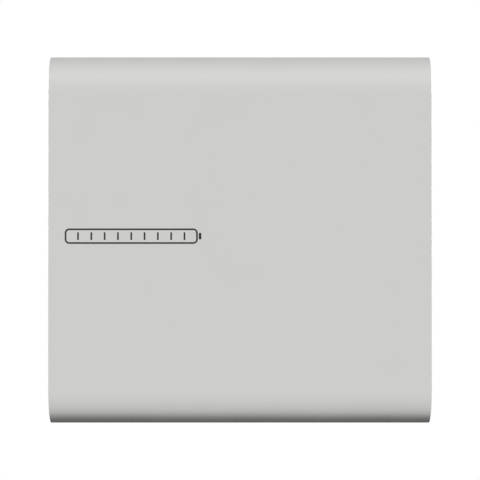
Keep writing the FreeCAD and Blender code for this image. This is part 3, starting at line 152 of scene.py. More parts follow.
def surface(colour, rough, mottle=(40, 0.04), grain=(0.5, 0.01), stretch=(1, 1, 1), spread=0.06, **sockets):
    """A finish with patches (size, share of colour), varied roughness and a grain (size, depth), in mm."""
    made, tree, shader = blank({key.replace("_", " "): value for key, value in sockets.items()})
    place = put(tree, "TexCoord", {}).outputs["Object"]
    along = put(tree, "Mapping", {"Vector": place, "Scale": stretch}).outputs["Vector"]
    patches = noise(tree, place, mottle[0])
    fine = noise(tree, along, grain[0])
    tree.links.new(between_shades(tree, patches, colour, mottle[1]), shader.inputs["Base Color"])
    smudge = put(tree, "Math", {0: patches, 1: fine}, operation="ADD").outputs[0]
    roughen(tree, shader, smudge, (0.7, 1.3), (rough - spread, rough + spread))
    grind(tree, shader, fine, grain[1])
    return made


def metal(*looks, **sockets):
    """A bare metal, with the looks as for surface()."""
    return surface(*looks, Metallic=1.0, **sockets)


def spangled(dark, light, rough, flake):
    """Zinc-coated steel, whose crystals of about the flake's size in mm differ in tone and gloss."""
    made, tree, shader = blank({"Metallic": 1.0})
    place = put(tree, "TexCoord", {}).outputs["Object"]
    wander = put(tree, "TexNoise", {"Vector": place, "Scale": 2000 / flake}).outputs["Color"]
    bent = put(tree, "Mix", {0: 0.004, 6: place, 7: wander}, data_type="RGBA", blend_type="ADD").outputs[2]
    crystals = put(tree, "TexVoronoi", {"Vector": bent, "Scale": 1000 / flake}).outputs["Color"]
    tone = put(tree, "RGBToBW", {"Color": crystals}).outputs["Val"]
    ramp = put(tree, "ValToRGB", {"Fac": tone})
    for stop, place_on, colour in zip(ramp.color_ramp.elements, (0.15, 0.85), (dark, light)):
        stop.position, stop.color = place_on, linear(colour)
    tree.links.new(ramp.outputs["Color"], shader.inputs["Base Color"])
    roughen(tree, shader, tone, (0.0, 1.0), (rough - 0.04, rough + 0.05))
    grind(tree, shader, noise(tree, place, 0.6), 0.006)
    return made


@finish
def cover_paint():
    return surface((222, 222, 220), 0.34, (90, 0.006), (0.9, 0.011), spread=0.03, Metallic=0.75)


@finish
def panel_paint():
    return surface((196, 197, 196), 0.5, (60, 0.012), (0.8, 0.012), spread=0.04)


@finish
def emblem():
    return surface((26, 27, 28), 0.34, (20, 0.1), (0.5, 0.006), spread=0.05)


@finish
def cup_aluminium():
    return metal((190, 192, 195), 0.34, (12, 0.05), (0.5, 0.01), (1, 1, 0.1))


@finish
def rubber():
    return surface((30, 30, 31), 0.74, (9, 0.16), (0.35, 0.03), spread=0.08)


@finish
def fastener():
    return metal((176, 178, 182), 0.3, (3, 0.12), (0.25, 0.008), spread=0.1)


@finish
def galvanised():
    return spangled((164, 168, 171), (192, 196, 199), 0.42, 7)


@finish
def plate_paint():
    return surface((46, 47, 49), 0.56, (50, 0.06), (0.7, 0.05))


@finish
def black_nylon():
    return surface((33, 34, 36), 0.5, (14, 0.1), (0.4, 0.015), spread=0.07)


@finish
def brass():
    return metal((200, 164, 92), 0.28, (4, 0.08), (0.3, 0.008), spread=0.1)


@finish
def cell_film():
    return surface((28, 78, 156), 0.3, (30, 0.06), (3.0, 0.03), (1, 1, 0.4), spread=0.08)


@finish
def cell_aluminium():
    return metal((198, 200, 203), 0.32, (10, 0.05), (0.4, 0.008), (1, 0.06, 1))


@finish
def cell_sheet():
    return surface((228, 226, 214), 0.66, (18, 0.05), (0.6, 0.02))


@finish
def terminal():
    return metal((206, 207, 208), 0.3, (5, 0.06), (0.3, 0.01), (1, 0.15, 1))


@finish
def copper():
    return metal((226, 160, 128), 0.3, (7, 0.1), (0.35, 0.01), (0.05, 1, 1), spread=0.09)


@finish
def end_plate():
    return surface((66, 68, 71), 0.48, (22, 0.07), (0.45, 0.02))


@finish
def strap():
    return metal((158, 161, 165), 0.3, (16, 0.07), (0.5, 0.01), (0.05, 0.05, 1))


@finish
def clear_lid():
    return surface((214, 226, 232), 0.12, (30, 0.03), (2.0, 0.01), spread=0.05, Alpha=0.26)


@finish
def flex_strip():
    return surface((190, 116, 38), 0.3, (8, 0.1), (1.4, 0.02), spread=0.08)


@finish
def circuit_board():
    return surface((18, 74, 48), 0.34, (11, 0.16), (0.25, 0.006), spread=0.05)


@finish
def board_trace():
    return surface((38, 112, 66), 0.3, (6, 0.1), (0.25, 0.006), spread=0.05)


@finish
def silkscreen():
    return surface((226, 228, 222), 0.6, (4, 0.05), (0.2, 0.006))


@finish
def black_anodised():
    return surface((38, 39, 42), 0.4, (14, 0.1), (0.3, 0.01), (1, 1, 0.06), spread=0.08, Metallic=0.7)


@finish
def chip():
    return surface((32, 32, 34), 0.62, (5, 0.12), (0.22, 0.02), spread=0.07)


@finish
def ceramic_part():
    return surface((176, 150, 112), 0.5, (2, 0.15), (0.2, 0.01))


@finish
def capacitor():
    return surface((30, 34, 64), 0.34, (6, 0.08), (0.6, 0.006), spread=0.05)


@finish
def capacitor_stripe():
    return surface((170, 176, 190), 0.4, (3, 0.06), (0.5, 0.006))


@finish
def connector():
    return surface((224, 220, 204), 0.44, (7, 0.05), (0.35, 0.012))


@finish
def contactor_case():
    return surface((44, 46, 50), 0.42, (16, 0.09), (0.4, 0.02), spread=0.07)


@finish
def fuse_base():
    return surface((86, 62, 46), 0.5, (8, 0.14), (0.4, 0.02))


@finish
def fuse_ceramic():
    return surface((232, 228, 216), 0.3, (9, 0.05), (0.8, 0.012), spread=0.08, Coat_Weight=0.25)


@finish
def tinned():
    return metal((196, 198, 200), 0.34, (5, 0.1), (0.35, 0.01), spread=0.1)


@finish
def breaker_case():
    return surface((206, 206, 200), 0.46, (12, 0.05), (0.4, 0.014))


@finish
def lever():
    return surface((30, 52, 84), 0.4, (6, 0.08), (0.35, 0.012))


@finish
def flap():
    return surface((52, 56, 62), 0.14, (20, 0.06), (1.6, 0.008), spread=0.05, Alpha=0.62)


@finish
def hinge_steel():
    return metal((150, 152, 156), 0.32, (3, 0.1), (0.25, 0.01))


@finish
def button_case():
    return surface((58, 60, 63), 0.36, (6, 0.09), (0.35, 0.012), spread=0.07)


@finish
def button():
    return metal((188, 190, 193), 0.26, (5, 0.06), (0.3, 0.008), (0.2, 1, 1))


@finish
def positive_sheath():
    return surface((186, 32, 28), 0.42, (12, 0.07), (0.9, 0.02), spread=0.07)


@finish
def negative_sheath():
    return surface((28, 28, 30), 0.44, (12, 0.14), (0.9, 0.02), spread=0.07)


@finish
def lead_sheath():
    return surface((206, 208, 210), 0.46, (9, 0.06), (0.7, 0.02), spread=0.07)


@finish
def indicator_red():
    return surface((196, 36, 30), 0.3, (3, 0.06), (0.3, 0.006))


@finish
def indicator_green():
    return surface((40, 150, 70), 0.3, (3, 0.06), (0.3, 0.006))


@finish
def floor_paint():
    return surface((232, 232, 230), 0.8, (400, 0.01), (4.0, 0.02), Emission_Strength=0.2)


# ---------------------------------------------------------------- shapes, in millimetres


def along(direction):
    """The rotation that takes Z to the direction."""
    return Vector(direction).to_track_quat("Z", "Y").to_matrix()


class Shape:
    """A mesh that grows piece by piece. Faces take the finish last named by paint()."""

    def __init__(self, finish):
        self.bm = bmesh.new()
        self.finishes = []
        self.paint(finish)

    def paint(self, finish):
        if finish not in self.finishes:
            self.finishes.append(finish)
        self.index = self.finishes.index(finish)
        return self

    def face(self, corners):
        made = self.bm.faces.new(corners)
        made.material_index = self.index
        return made

    def skin(self, rows, loop=False):
        """Faces between rows of points, with a face on each end unless the last row meets the first."""
        for low, high in zip(rows, rows[1:] + rows[:1] if loop else rows[1:]):
            for i in range(len(low)):
                self.face((low[i - 1], low[i], high[i], high[i - 1]))
        if not loop:
            self.face(rows[0][::-1])
            self.face(rows[-1])

    def turned(self, foot, direction, rings, segments=TURN_SEGMENTS, loop=False):
        """Turns rings about an axis. A ring is (height, radius), with a third number for a hexagon's
        corner radius, or a pair for (count, depth) of flutes."""
        spin, foot, rows = along(direction), Vector(foot), []
        for height, radius, *form in rings:
            row = []
            for step in range(segments):
                angle = 2 * math.pi * step / segments
                reach = radius
                if form and isinstance(form[0], tuple):
                    count, depth = form[0]
                    reach -= depth * (0.5 - 0.5 * math.cos(count * angle))
                elif form:
                    side = math.cos(math.pi / 6) / math.cos(angle % (math.pi / 3) - math.pi / 6)
                    reach = min(reach, form[0] * side)
                spot = spin @ Vector((reach * math.cos(angle), reach * math.sin(angle), height))
                row.append(self.bm.verts.new(foot + spot))
            rows.append(row)
        self.skin(rows, loop)
        return self

    def block(self, low, high, bevel=0.4, steps=2):
        """A box with its edges rounded."""
        verts = [self.bm.verts.new(corner) for corner in itertools.product(*zip(low, high))]
        sides = ((0, 1, 3, 2), (4, 6, 7, 5), (0, 4, 5, 1), (2, 3, 7, 6), (0, 2, 6, 4), (1, 5, 7, 3))
        faces = [self.face([verts[i] for i in side]) for side in sides]
        bevel = min(bevel, 0.49 * min(abs(b - a) for a, b in zip(low, high)))
        if bevel > 0:
            edges = list({edge for made in faces for edge in made.edges})
            bmesh.ops.bevel(self.bm, geom=edges, offset=bevel, segments=steps, profile=0.5, affect="EDGES")
        return self

    def prism(self, outline, start, reach):
        """An outline of points pushed along a vector from where it is."""
        base = [self.bm.verts.new(Vector(point) + Vector(start)) for point in outline]
        ends = [self.bm.verts.new(vert.co + Vector(reach)) for vert in base]
        self.face(base[::-1])
        self.face(ends)
        for i in range(len(base)):
            self.face((base[i - 1], base[i], ends[i], ends[i - 1]))
        return self

    def copy(self, *names):
        """Adds clean copies of CAD nodes, with their flat areas merged."""
        for name in names:
            mesh = nodes[name].data.copy()
            if "custom_normal" in mesh.attributes:
                mesh.attributes.remove(mesh.attributes["custom_normal"])
            part = bmesh.new()
            part.from_mesh(mesh)
            bmesh.ops.scale(part, vec=(1 / MM,) * 3, verts=part.verts)
            bmesh.ops.remove_doubles(part, verts=part.verts, dist=0.003)
            bmesh.ops.dissolve_limit(part, angle_limit=math.radians(0.5), verts=part.verts, edges=part.edges)
            for made in part.faces:
                made.material_index = self.index
            part.to_mesh(mesh)
            part.free()
            self.bm.from_mesh(mesh)
            bpy.data.meshes.remove(mesh)
        return self

    def fold(self, gauge, inner, shortest=8):
        """Rounds the fold lines of a folded sheet: convex ones by gauge + inner radius, concave by inner."""
        # Small faces with notches are split first, because the bevel would close them over.
        small = [face for face in self.bm.faces if len(face.verts) <= 16]
        bmesh.ops.connect_verts_concave(self.bm, faces=small)
        for convex, offset in ((True, gauge + inner), (False, inner)):
            lines = []
            for edge in self.bm.edges:
                if len(edge.link_faces) != 2 or edge.calc_length() < shortest:
                    continue
                square = abs(edge.calc_face_angle() - math.pi / 2) < 0.05
                wide = min(f.calc_area() for f in edge.link_faces) > 3.5 * gauge * edge.calc_length()
                if square and wide and edge.is_convex == convex:
                    lines.append(edge)
            if lines:
                bmesh.ops.bevel(self.bm, geom=lines, offset=offset, segments=5, profile=0.5, affect="EDGES")
        return self

    def piece(self, node, bevel=0.0, steps=2, angle=30):
        """Makes the shape an object that rides on the node's body and stands for the node."""
        bm = self.bm
        bmesh.ops.recalc_face_normals(bm, faces=bm.faces)
        bmesh.ops.scale(bm, vec=(MM,) * 3, verts=bm.verts)
        mesh = bpy.data.meshes.new(f"{node}_looks")
        bm.to_mesh(mesh)
        bm.free()
        mesh.shade_smooth()
        made = placed(mesh.name, mesh)
        for name in self.finishes:
            mesh.materials.append(finish_of[name])
        if bevel:
            round_edges(made, bevel, steps, angle)
        else:
            mesh.set_sharp_from_angle(angle=math.radians(angle))
        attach(made, nodes[node]["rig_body"])
        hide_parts(node)
        return made


def placed(name, data):
    """A new object in the scene."""
    made = bpy.data.objects.new(name, data)
    bpy.context.scene.collection.objects.link(made)
    return made


def round_edges(made, bevel, steps, angle):
    """Rounds the edges that are sharper than the angle in degrees."""
    edges = made.modifiers.new("edges", "BEVEL")
    edges.width, edges.segments = bevel * MM, steps
    edges.limit_method, edges.angle_limit = "ANGLE", math.radians(angle)
    edges.use_clamp_overlap = False
    made.modifiers.new("normals", "WEIGHTED_NORMAL").keep_sharp = True


def copied(node, bevel, steps=2, fold=None):
    """A CAD node kept in shape, with its edges rounded, and its folds as by Shape.fold."""
    shape = Shape(slot_of[node]).copy(node)
    if fold:
        shape.fold(*fold)
    shape.piece(node, bevel, steps)


def solids(name):
    """The corner points of each separate solid of a CAD node, in mm, in a fixed order."""
    bm = Shape("rubber").copy(name).bm
    bm.verts.ensure_lookup_table()
    seen, groups = set(), []
    for start in bm.verts:
        if start in seen:
            continue
        group, queue = [], [start]
        seen.add(start)
        while queue:
            vert = queue.pop()
            group.append(vert.co.copy())
            for edge in vert.link_edges:
                other = edge.other_vert(vert)
                if other not in seen:
                    seen.add(other)
                    queue.append(other)
        groups.append(group)
    bm.free()
    return sorted(groups, key=lambda group: tuple(round(c, 1) for c in limits(group)[0]))


def limits(points):
    """The lowest and highest corner of a set of points, and the middle between the two."""
    low, high = (Vector([pick(p[i] for p in points) for i in range(3)]) for pick in (min, max))
    return low, high, (low + high) / 2


def extents(name):
    """The limits of each separate solid of a CAD node."""
    return [limits(group) for group in solids(name)]


def odd_axis(size):
    """The axis along which a turned part's size differs from the other two."""
    middle = sorted(size)[1]
    return max(range(3), key=lambda i: abs(size[i] - middle))


def thread(start, end, radius, depth=0.28):
    """Rings of a screw thread between two heights."""
    rings, height = [(start, radius - depth)], start + 0.5
    while height < end - 0.6:
        rings += [(height, radius), (height + THREAD_PITCH / 2, radius - depth)]
        height += THREAD_PITCH
    return rings + [(end, radius - depth - 0.25)]


def repeated(rings, heights):
    """The same few rings, once at each height."""
    return [(height + lift, radius) for height in heights for lift, radius in rings]


# ---------------------------------------------------------------- fasteners


def socket_screw(shape, seat, direction, radius, length):
    """A socket-head screw with a knurled head, a hexagon recess and a threaded shank."""
    head, top, edge = radius * HEAD_RATIO, -radius * HEAD_HEIGHT, radius * 0.14
    rings = [
        (top * 0.4, radius, radius * 0.9), (top, radius, radius * 0.9), (top, radius * 1.12),
        (top, head - edge * 2), (top + edge, head, (SMALL_SEGMENTS // 2, edge * 0.8)),
        (-edge, head, (SMALL_SEGMENTS // 2, edge * 0.8)), (0, head - edge), (0, radius - 0.2),
    ]
    shape.turned(seat, direction, rings + thread(0.4, length, radius), SMALL_SEGMENTS)


def hex_nut(shape, foot, direction, corner, bore, height):
    """A chamfered hexagon nut with a countersunk bore."""
    flat = corner * FLAT
    rings = [
        (0, bore + 0.3), (0, flat), (corner * 0.09, corner, corner), (height - corner * 0.09, corner, corner),
        (height, flat), (height, bore + 0.5), (height - 0.5, bore), (0.4, bore),
    ]
    shape.turned(foot, direction, rings, SMALL_SEGMENTS, loop=True)


def hex_bolt(shape, foot, direction, corner, height):
    """The head of a hexagon bolt on its washer face."""
    flat = corner * FLAT
    rings = [
        (0, flat + 0.5), (0.5, flat + 0.5), (0.5, corner, corner), (height - corner * 0.1, corner, corner),
        (height, flat), (height, flat * 0.55), (height - 0.25, flat * 0.5),
    ]
    shape.turned(foot, direction, rings, SMALL_SEGMENTS)


def slotted_screw(shape, foot, direction, radius, height):
    """A terminal screw, down in a well. Its cross recess is not cut: a flat cross in the dark rubber finish
    lies on its top, as painted shade of the recess.
    """
    rings = [(0, radius - 0.3), (0.3, radius), (height - 0.9, radius), (height - 0.5, radius - 0.4)]
    shape.turned(foot, direction, rings)
    # Painted shade: the recess is a thin dark cross laid on the head, not a hollow.
    for long, short in ((radius * 0.75, 0.5), (0.5, radius * 0.75)):
        low = Vector(foot) + Vector((height - 0.55, -long, -short))
        shape.paint("rubber").block(low, low + Vector((0.12, 2 * long, 2 * short)), 0)
    shape.paint("fastener")


def screws_of(node):
    """Rebuilds every screw of a CAD node, from its solids."""
    shape = Shape(slot_of[node])
    for points in solids(node):
        low, high, middle = limits(points)
        size = high - low
        axis = odd_axis(size)
        across, wide = [i for i in range(3) if i != axis], size[(axis + 1) % 3] / 2
        rim = [p[axis] for p in points if max(abs(p[i] - middle[i]) for i in across) > 0.9 * wide]
        head_low = sum(rim) / len(rim) < middle[axis]
        radius = wide / HEAD_RATIO
        tall = radius * HEAD_HEIGHT
        seat, direction = middle.copy(), Vector()
        direction[axis] = 1 if head_low else -1
        seat[axis] = low[axis] + tall if head_low else high[axis] - tall
        socket_screw(shape, seat, direction, radius, size[axis] - tall)
    shape.piece(node, angle=38)


def power_nuts():
    """The nuts and bolts of the power studs and the screws of the breaker's terminals."""
    shape = Shape("fastener")
    for low, high, middle in extents("terminal_nuts"):
        size = high - low
        axis = min(range(3), key=lambda i: size[i])
        if size[axis] > 6:
            slotted_screw(shape, (low.x, middle.y, middle.z), RIGHT, size.y / 2, size.x)
            continue
        direction = UP if axis == 2 else TO_FRONT
        foot = Vector((middle.x, high.y, middle.z)) if axis == 1 else Vector((middle.x, middle.y, low.z))
        corner = max(size) / 2
        if size[axis] < 4.5:
            hex_bolt(shape, foot, direction, corner, size[axis])
        else:
            bore = 4.0 if corner > 7 else 3.0
            hex_nut(shape, foot, direction, corner, bore, size[axis])
            shape.turned(foot, direction, [(0.02, corner + 0.9), (0.5, corner + 0.9), (0.7, corner + 0.6)])
    shape.piece("terminal_nuts", angle=38)


# ---------------------------------------------------------------- cover


def front_cover():
    """The wrapped sheet: a smooth profile pushed across the unit, with its notch and screw holes cut."""
    low, high = [Vector(corner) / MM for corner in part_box("front_cover")]
    gauge, radius, steps = 2.5, 66.0, 44
    rows = []
    for inset in (0, gauge):
        bend = radius - inset
        points = [(high.y, high.z - inset)]
        for step in range(steps + 1):
            turn = math.pi / 2 * step / steps
            points.append((low.y + radius - bend * math.sin(turn), high.z - radius + bend * math.cos(turn)))
        rows.append(points + [(y, -z) for y, z in reversed(points)])
    shape = Shape("cover_paint")
    outer, inner = [[[shape.bm.verts.new((x, y, z)) for y, z in row] for x in (low.x, high.x)]
                    for row in rows]
    for i in range(len(rows[0]) - 1):
        for skin in (outer, inner):
            shape.face((skin[0][i], skin[0][i + 1], skin[1][i + 1], skin[1][i]))
        for side in (0, 1):
            shape.face((outer[side][i], outer[side][i + 1], inner[side][i + 1], inner[side][i]))
    for i in (0, -1):
        shape.face((outer[0][i], outer[1][i], inner[1][i], inner[0][i]))
    notch = (96, 264, -80)             # left, right and front of the notch for the cables
    hole = 2.7
    cutter = Shape("cover_paint")
    cutter.block((notch[0], notch[2], low.z - 2), (notch[1], high.y + 4, low.z + gauge + 2), 0)
    for _, _, middle in extents("cover_screws"):
        cutter.turned((middle.x, -40, low.z - 2), UP, [(0, hole), (gauge + 4, hole)])
    bmesh.ops.recalc_face_normals(cutter.bm, faces=cutter.bm.faces)
    bmesh.ops.scale(cutter.bm, vec=(MM,) * 3, verts=cutter.bm.verts)
    tool = placed("cutter", bpy.data.meshes.new("cutter"))
    cutter.bm.to_mesh(tool.data)
    cutter.bm.free()
    made = shape.piece("front_cover", angle=40)
    made.modifiers.new("cut", "BOOLEAN").object = tool
    bpy.context.view_layer.update()
    result = bpy.data.meshes.new_from_object(made.evaluated_get(bpy.context.evaluated_depsgraph_get()))
    made.modifiers.clear()
    made.data = result
    bpy.data.objects.remove(tool)
    round_edges(made, 0.6, 3, 40)


def cover_parts():
    """The emblem, and the cups and bushes behind the cover."""
    copied("front_emblem", 0.12, 3)
    cups, bushes = Shape("cup_aluminium"), Shape("rubber")
    cup = [(0, 9), (0.01, 11.5), (1.2, 11.2), (2.2, 9.3), (20.6, 9), (22, 8.4), (22, 7.3), (21.4, 7), (2, 7)]
    for low, _, middle in extents("cover_sockets"):
        cups.turned((middle.x, low.y, middle.z), -TO_FRONT, cup)
    groove = ((0, 6.5), (0.4, 6.97), (2.2, 6.97), (2.6, 6.5))
    bush = [(0, 4.1), (0, 6.9), *repeated(groove, (1.5, 5, 8.5, 12))]
    bush += [(16.6, 6.9), (17, 6.5), (17, 5.4), (15.6, 4.08)]
    for low, _, middle in extents("cover_bushes"):
        bushes.turned((middle.x, low.y, middle.z), -TO_FRONT, bush, loop=True)
    cups.piece("cover_sockets", angle=35)
    bushes.piece("cover_bushes", angle=35)
    screws_of("cover_screws")


# ---------------------------------------------------------------- side panels


def side_panels():
    """The two end plates, their seals and screws."""
    for node in ("side_panel_left", "side_panel_right"):
        copied(node, 0.5, 3)
    copied("edge_seals", 0.5, 3)
    screws_of("side_panel_screws")


def breather_vent():
    """The vent: a fluted cap with slots under its rim, a threaded neck and a nut."""
    shape = Shape("black_nylon")
    low, _, middle = min(extents("breather_vent"), key=lambda box: box[0].x)
    cap, flutes = 4, (18, 1.0)
    foot = Vector((low.x + cap, middle.y, middle.z))
    rings = [(2.2, 3.5), (-2.6, 3.2), (-3.1, 5), (-3.1, 5.6), (-3.9, 6.2), (-4, 7.6), (-3.7, 8.9),
             (-3.0, 9.8, flutes), (-0.9, 10.0, flutes), (-0.5, 9.6), (-0.5, 8.8), (0, 8.8), (0, 6)]
    shape.turned(foot, RIGHT, rings + [(h + 3.4, r) for h, r in thread(0, 8.4, 6)] + [(12, 3.5)], loop=True)
    hex_nut(shape, foot + RIGHT * 3, RIGHT, 10, 6, 4)
    shape.piece("breather_vent", angle=35)


# ---------------------------------------------------------------- wall side


def wall_side():
    """The wall plate, the rail that hangs in it, the lock tabs and screws, and the buffers."""
    copied("wall_plate", 0.35, fold=(3, 0.8))
    copied("hanging_rail", 0.3, fold=(2.5, 0.6))
    copied("lock_tabs", 0.4, fold=(2.5, 0.8, 20))
    screws_of("lock_screws")
    shape = Shape("rubber")
    for low, high, middle in extents("wall_buffers"):
        tall, groove = high.y - low.y, ((0, 11), (0.5, 10.7), (1, 11), (1.5, 11.8))
        rings = [(0, 11.4), (0.6, 12), (2.4, 12), *repeated(groove, (3.4, 6.4, 9.4))]
        rings += [(tall - 1.4, 12), (tall - 0.4, 11.4), (tall, 10.4), (tall, 4), (tall - 1.5, 3.4)]
        shape.turned((middle.x, low.y, middle.z), -TO_FRONT, rings)
    shape.piece("wall_buffers", angle=35)


def chassis_tray():
    """The folded tray, with pressed beads and spot welds on its back."""
    shape = Shape("galvanised").copy("chassis_tray").fold(1.5, 1.0)
    back, weld = extents("chassis_tray")[0][1].y, [(0, 3.2), (0.18, 3.0), (0.3, 2.2), (0.12, 1.4)]
    for places, foot, top in (((-96, -32, 32, 96), -150, 90), ((-250, 250), -170, 170)):
        for x in places:
            bead(shape, (x, back, foot), (x, back, top), width=7, rise=1.3)
    for x, z in [(x, z) for z in (-210, 150) for x in range(-120, 121, 40)]:
        shape.turned((x, back, z), -TO_FRONT, weld, SMALL_SEGMENTS)
    shape.piece("chassis_tray", 0.3)


def bead(shape, start, end, width, rise):
    """A long pressed bead with round ends, standing off a back face that looks along +Y."""
    start, end = Vector(start), Vector(end)
    for inset, level, next_inset, next_level in bead_steps(width, rise):
        rings = []
        for off, lift in ((inset, level), (next_inset, next_level)):
            reach = width - off
            ring = []
            for centre, first in ((end, 0), (start, math.pi)):
                for step in range(13):
                    angle = first + math.pi * step / 12
                    spot = centre + Vector((reach * math.cos(angle), lift, reach * math.sin(angle)))
                    ring.append(shape.bm.verts.new(spot))
            rings.append(ring)
        count = len(rings[0])
        for i in range(count):
            shape.face((rings[0][i - 1], rings[0][i], rings[1][i], rings[1][i - 1]))
        if next_inset >= width * 0.62:
            shape.face(rings[1])
    bmesh.ops.remove_doubles(shape.bm, verts=shape.bm.verts[:], dist=0.0005)


def bead_steps(width, rise):
    """The steps of a bead's side, from its foot to its top."""
    profile = [(0, -0.1), (0.08, 0.12), (0.2, 0.42), (0.34, 0.72), (0.48, 0.92), (0.62, 1.0)]
    for (a, b), (c, d) in zip(profile, profile[1:]):
        yield a * width, b * rise, c * width, d * rise


def guide_pins():
    """The pins that guide the cover on, with tapered tips."""
    copied("guide_pins", 0.5, 3)


# ---------------------------------------------------------------- cable bay


def bay_sheets():
    """The bay's walls, and the plate that holds the glands."""
    copied("cable_bay_walls", 0.25, fold=(1.5, 0.8))
    copied("gland_plate", 0.3)


def half_width(low, high):
    """Half of the larger width of a part that stands upright."""
    return max(high.x - low.x, high.y - low.y) / 2


def glands():
    """The glands: a fluted cap, a ribbed seal, a threaded body with its flange, and the lock nut."""
    caps, seals, bodies = Shape("black_nylon"), Shape("rubber"), Shape("black_nylon")
    flanges = [box for box in extents("gland_bodies") if box[1].z - box[0].z > 8]
    locks = [box for box in extents("gland_bodies") if box[1].z - box[0].z < 8]
    for (low, high, middle), (seal_low, seal_high, _) in zip(extents("gland_caps"), extents("gland_seals")):
        foot = Vector((middle.x, middle.y, low.z + 5))
        corner, inside = half_width(low, high), (seal_high.x - seal_low.x) / 2
        bore = 7.0 if inside > 8 else 4.0
        caps.turned(foot, UP, gland_cap(corner, inside, bore), 48, loop=True)
        tall = seal_high.z - seal_low.z
        seal = [(0, bore), (0, inside), (tall, inside), (tall, bore + 1)]
        seal += repeated(((0.9, bore + 0.5), (0, bore)), (11, 8, 5, 2))
        seals.turned((foot.x, foot.y, seal_low.z), UP, seal, 36, loop=True)
        low, high, _ = next(box for box in flanges if abs(box[2].x - foot.x) < 1)
        body = gland_body(corner, 12.5 if corner > 14 else 8.0, high.z - low.z)
        bodies.turned((foot.x, foot.y, low.z), UP, body, 36, loop=True)
    for low, high, middle in locks:
        corner = half_width(low, high)
        bore = 12.5 if corner > 14 else 8.0
        hex_nut(bodies, (middle.x, middle.y, low.z), UP, corner, bore, high.z - low.z)
    for shape, node in ((caps, "gland_caps"), (seals, "gland_seals"), (bodies, "gland_bodies")):
        shape.piece(node, angle=35)


def gland_cap(corner, inside, bore):
    """The rings of a gland's cap."""
    flutes = (24, 0.8)
    return [
        (12, inside), (12, corner * FLAT), (11.2, corner, corner), (6.8, corner, corner),
        (6.2, corner * 0.88), (5.4, corner * 0.86), (4.8, corner * 0.93, flutes),
        (0.4, corner * 0.93, flutes), (0, corner * 0.86), (-2.2, corner * 0.8), (-4.2, inside + 2.2),
        (-5, inside + 1), (-5, bore + 0.9), (-4.4, bore + 0.4),
        (-2, bore + 0.4), (-2, inside),
    ]


def gland_body(corner, radius, tall):
    """The rings of a gland's body: a hexagon flange, then the threaded neck."""
    flat = corner * FLAT
    flange = [(0.4, flat), (0.9, corner, corner), (4.2, corner, corner), (4.6, flat), (5, corner * 0.8)]
    neck = [(5, radius - 0.3), *thread(5.4, tall, radius), (tall, radius - 3), (0.4, radius - 3.4)]
    return flange + neck


def earth_stud():
    """The threaded stud with its collar and nuts."""
    shape = Shape("brass")
    (low, high, middle), *nuts = sorted(extents("earth_stud"), key=lambda box: box[0].z - box[1].z)
    rings = [(0, 2.2)] + thread(0.2, 17, 3.0)[1:] + thread(17.2, high.z - low.z, 2.5)
    shape.turned((middle.x, middle.y, low.z), UP, rings, SMALL_SEGMENTS)
    for low, high, middle in nuts:
        hex_nut(shape, (middle.x, middle.y, low.z), UP, half_width(low, high), 2.5, high.z - low.z)
    shape.piece("earth_stud", angle=38)


# ---------------------------------------------------------------- battery modules


def cells():
    """The cans in blue film, with bare lids, seams, filling plugs and scored burst discs."""
    shape = Shape("cell_film")
    disc = [(-0.3, 9.4), (0.22, 9.4), (0.3, 9.1), (0.3, 8.5), (0.05, 8.2), (0.05, 7.6), (0.6, 7.2),
            (0.62, 5.6), (0.45, 5.4), (0.45, 4.8), (0.62, 4.6)]
    plug = [(-0.3, 2.6), (0.35, 2.6), (0.45, 2.4), (0.3, 1.4), (0.5, 1.0)]
    inset = Vector((1.6, 1.6))
    for low, high, middle in extents("cells"):
        top = high.z - 0.6
        (x, y), lid_low, lid_high = middle.xy, low.xy + inset, high.xy - inset
        shape.paint("cell_film").block(low, (high.x, high.y, top - 0.2), 2.2, 4)
        shape.paint("cell_aluminium").block((*lid_low, top - 2.5), (*lid_high, top + 0.02), 1.2, 3)
        shape.turned((x, y, top), UP, disc)
        for turn in range(0, 180, 60):
            step = Vector((math.cos(math.radians(turn)), math.sin(math.radians(turn)), 0)) * 6.6
            side, centre = Vector((-step.y, step.x, 0)) * 0.05, Vector((x, y, top + 0.6))
            score = [centre + step * a + side * b for a, b in ((1, 1), (-1, 1), (-1, -1), (1, -1))]
            shape.prism(score, (0, 0, 0), (0, 0, 0.12))
        shape.turned((x, y + 22, top), UP, plug, SMALL_SEGMENTS)
    shape.piece("cells", angle=35)
    copied("cell_sheets", 0.2)


def cell_terminals():
    """Each pole: an insulating frame, a bevelled pad and a threaded stud."""
    shape, rim = Shape("terminal"), Vector((1.2, 1.2))
    for low, high, middle in extents("cell_terminals"):
        frame_low, frame_high = (*(low.xy - rim), low.z - 0.3), (*(high.xy + rim), low.z + 0.9)
        shape.paint("black_nylon").block(frame_low, frame_high, 0.4)
        shape.paint("terminal").block(low, (high.x, high.y, low.z + 3), 0.6, 3)
        stud = [(0, 2.9)] + thread(2.2, high.z - low.z - 2.9, 3.0)
        shape.turned((middle.x, middle.y, low.z + 2.9), UP, stud, SMALL_SEGMENTS)
    shape.piece("cell_terminals", angle=38)


def short_bars():
    """The busbars between two cells."""
    return [box for box in extents("busbars") if 30 <= box[1].x - box[0].x <= 80]


def busbars():
    """The bars between the cells, each with a pressed hump, and the long return bars."""
    shape = Shape("copper").copy("busbars")
    for _, high, (x, y, _) in short_bars():
        shape.block((x - 6.5, y - 7.6, high.z - 0.9), (x + 6.5, y + 7.6, high.z + 1.5), 1.4, 5)
    shape.piece("busbars", 0.35)


def end_plates():
    """The ribbed end plates, the steel bands with their crimped seals."""
    copied("end_plates", 0.7, 3)
    shape = Shape("strap").copy("straps")
    for low, high, _ in extents("straps"):
        x = low.x + 60
        shape.block((x - 13, low.y - 0.5, low.z - 0.5), (x + 13, low.y + 0.9, high.z + 0.5), 0.35)
        for step in (-7, 0, 7):
            for z in (low.z - 0.6, high.z - 1.4):
                shape.block((x + step - 1.2, low.y - 0.75, z), (x + step + 1.2, low.y + 0.6, z + 2.0), 0.3)
    shape.piece("straps", 0.15)


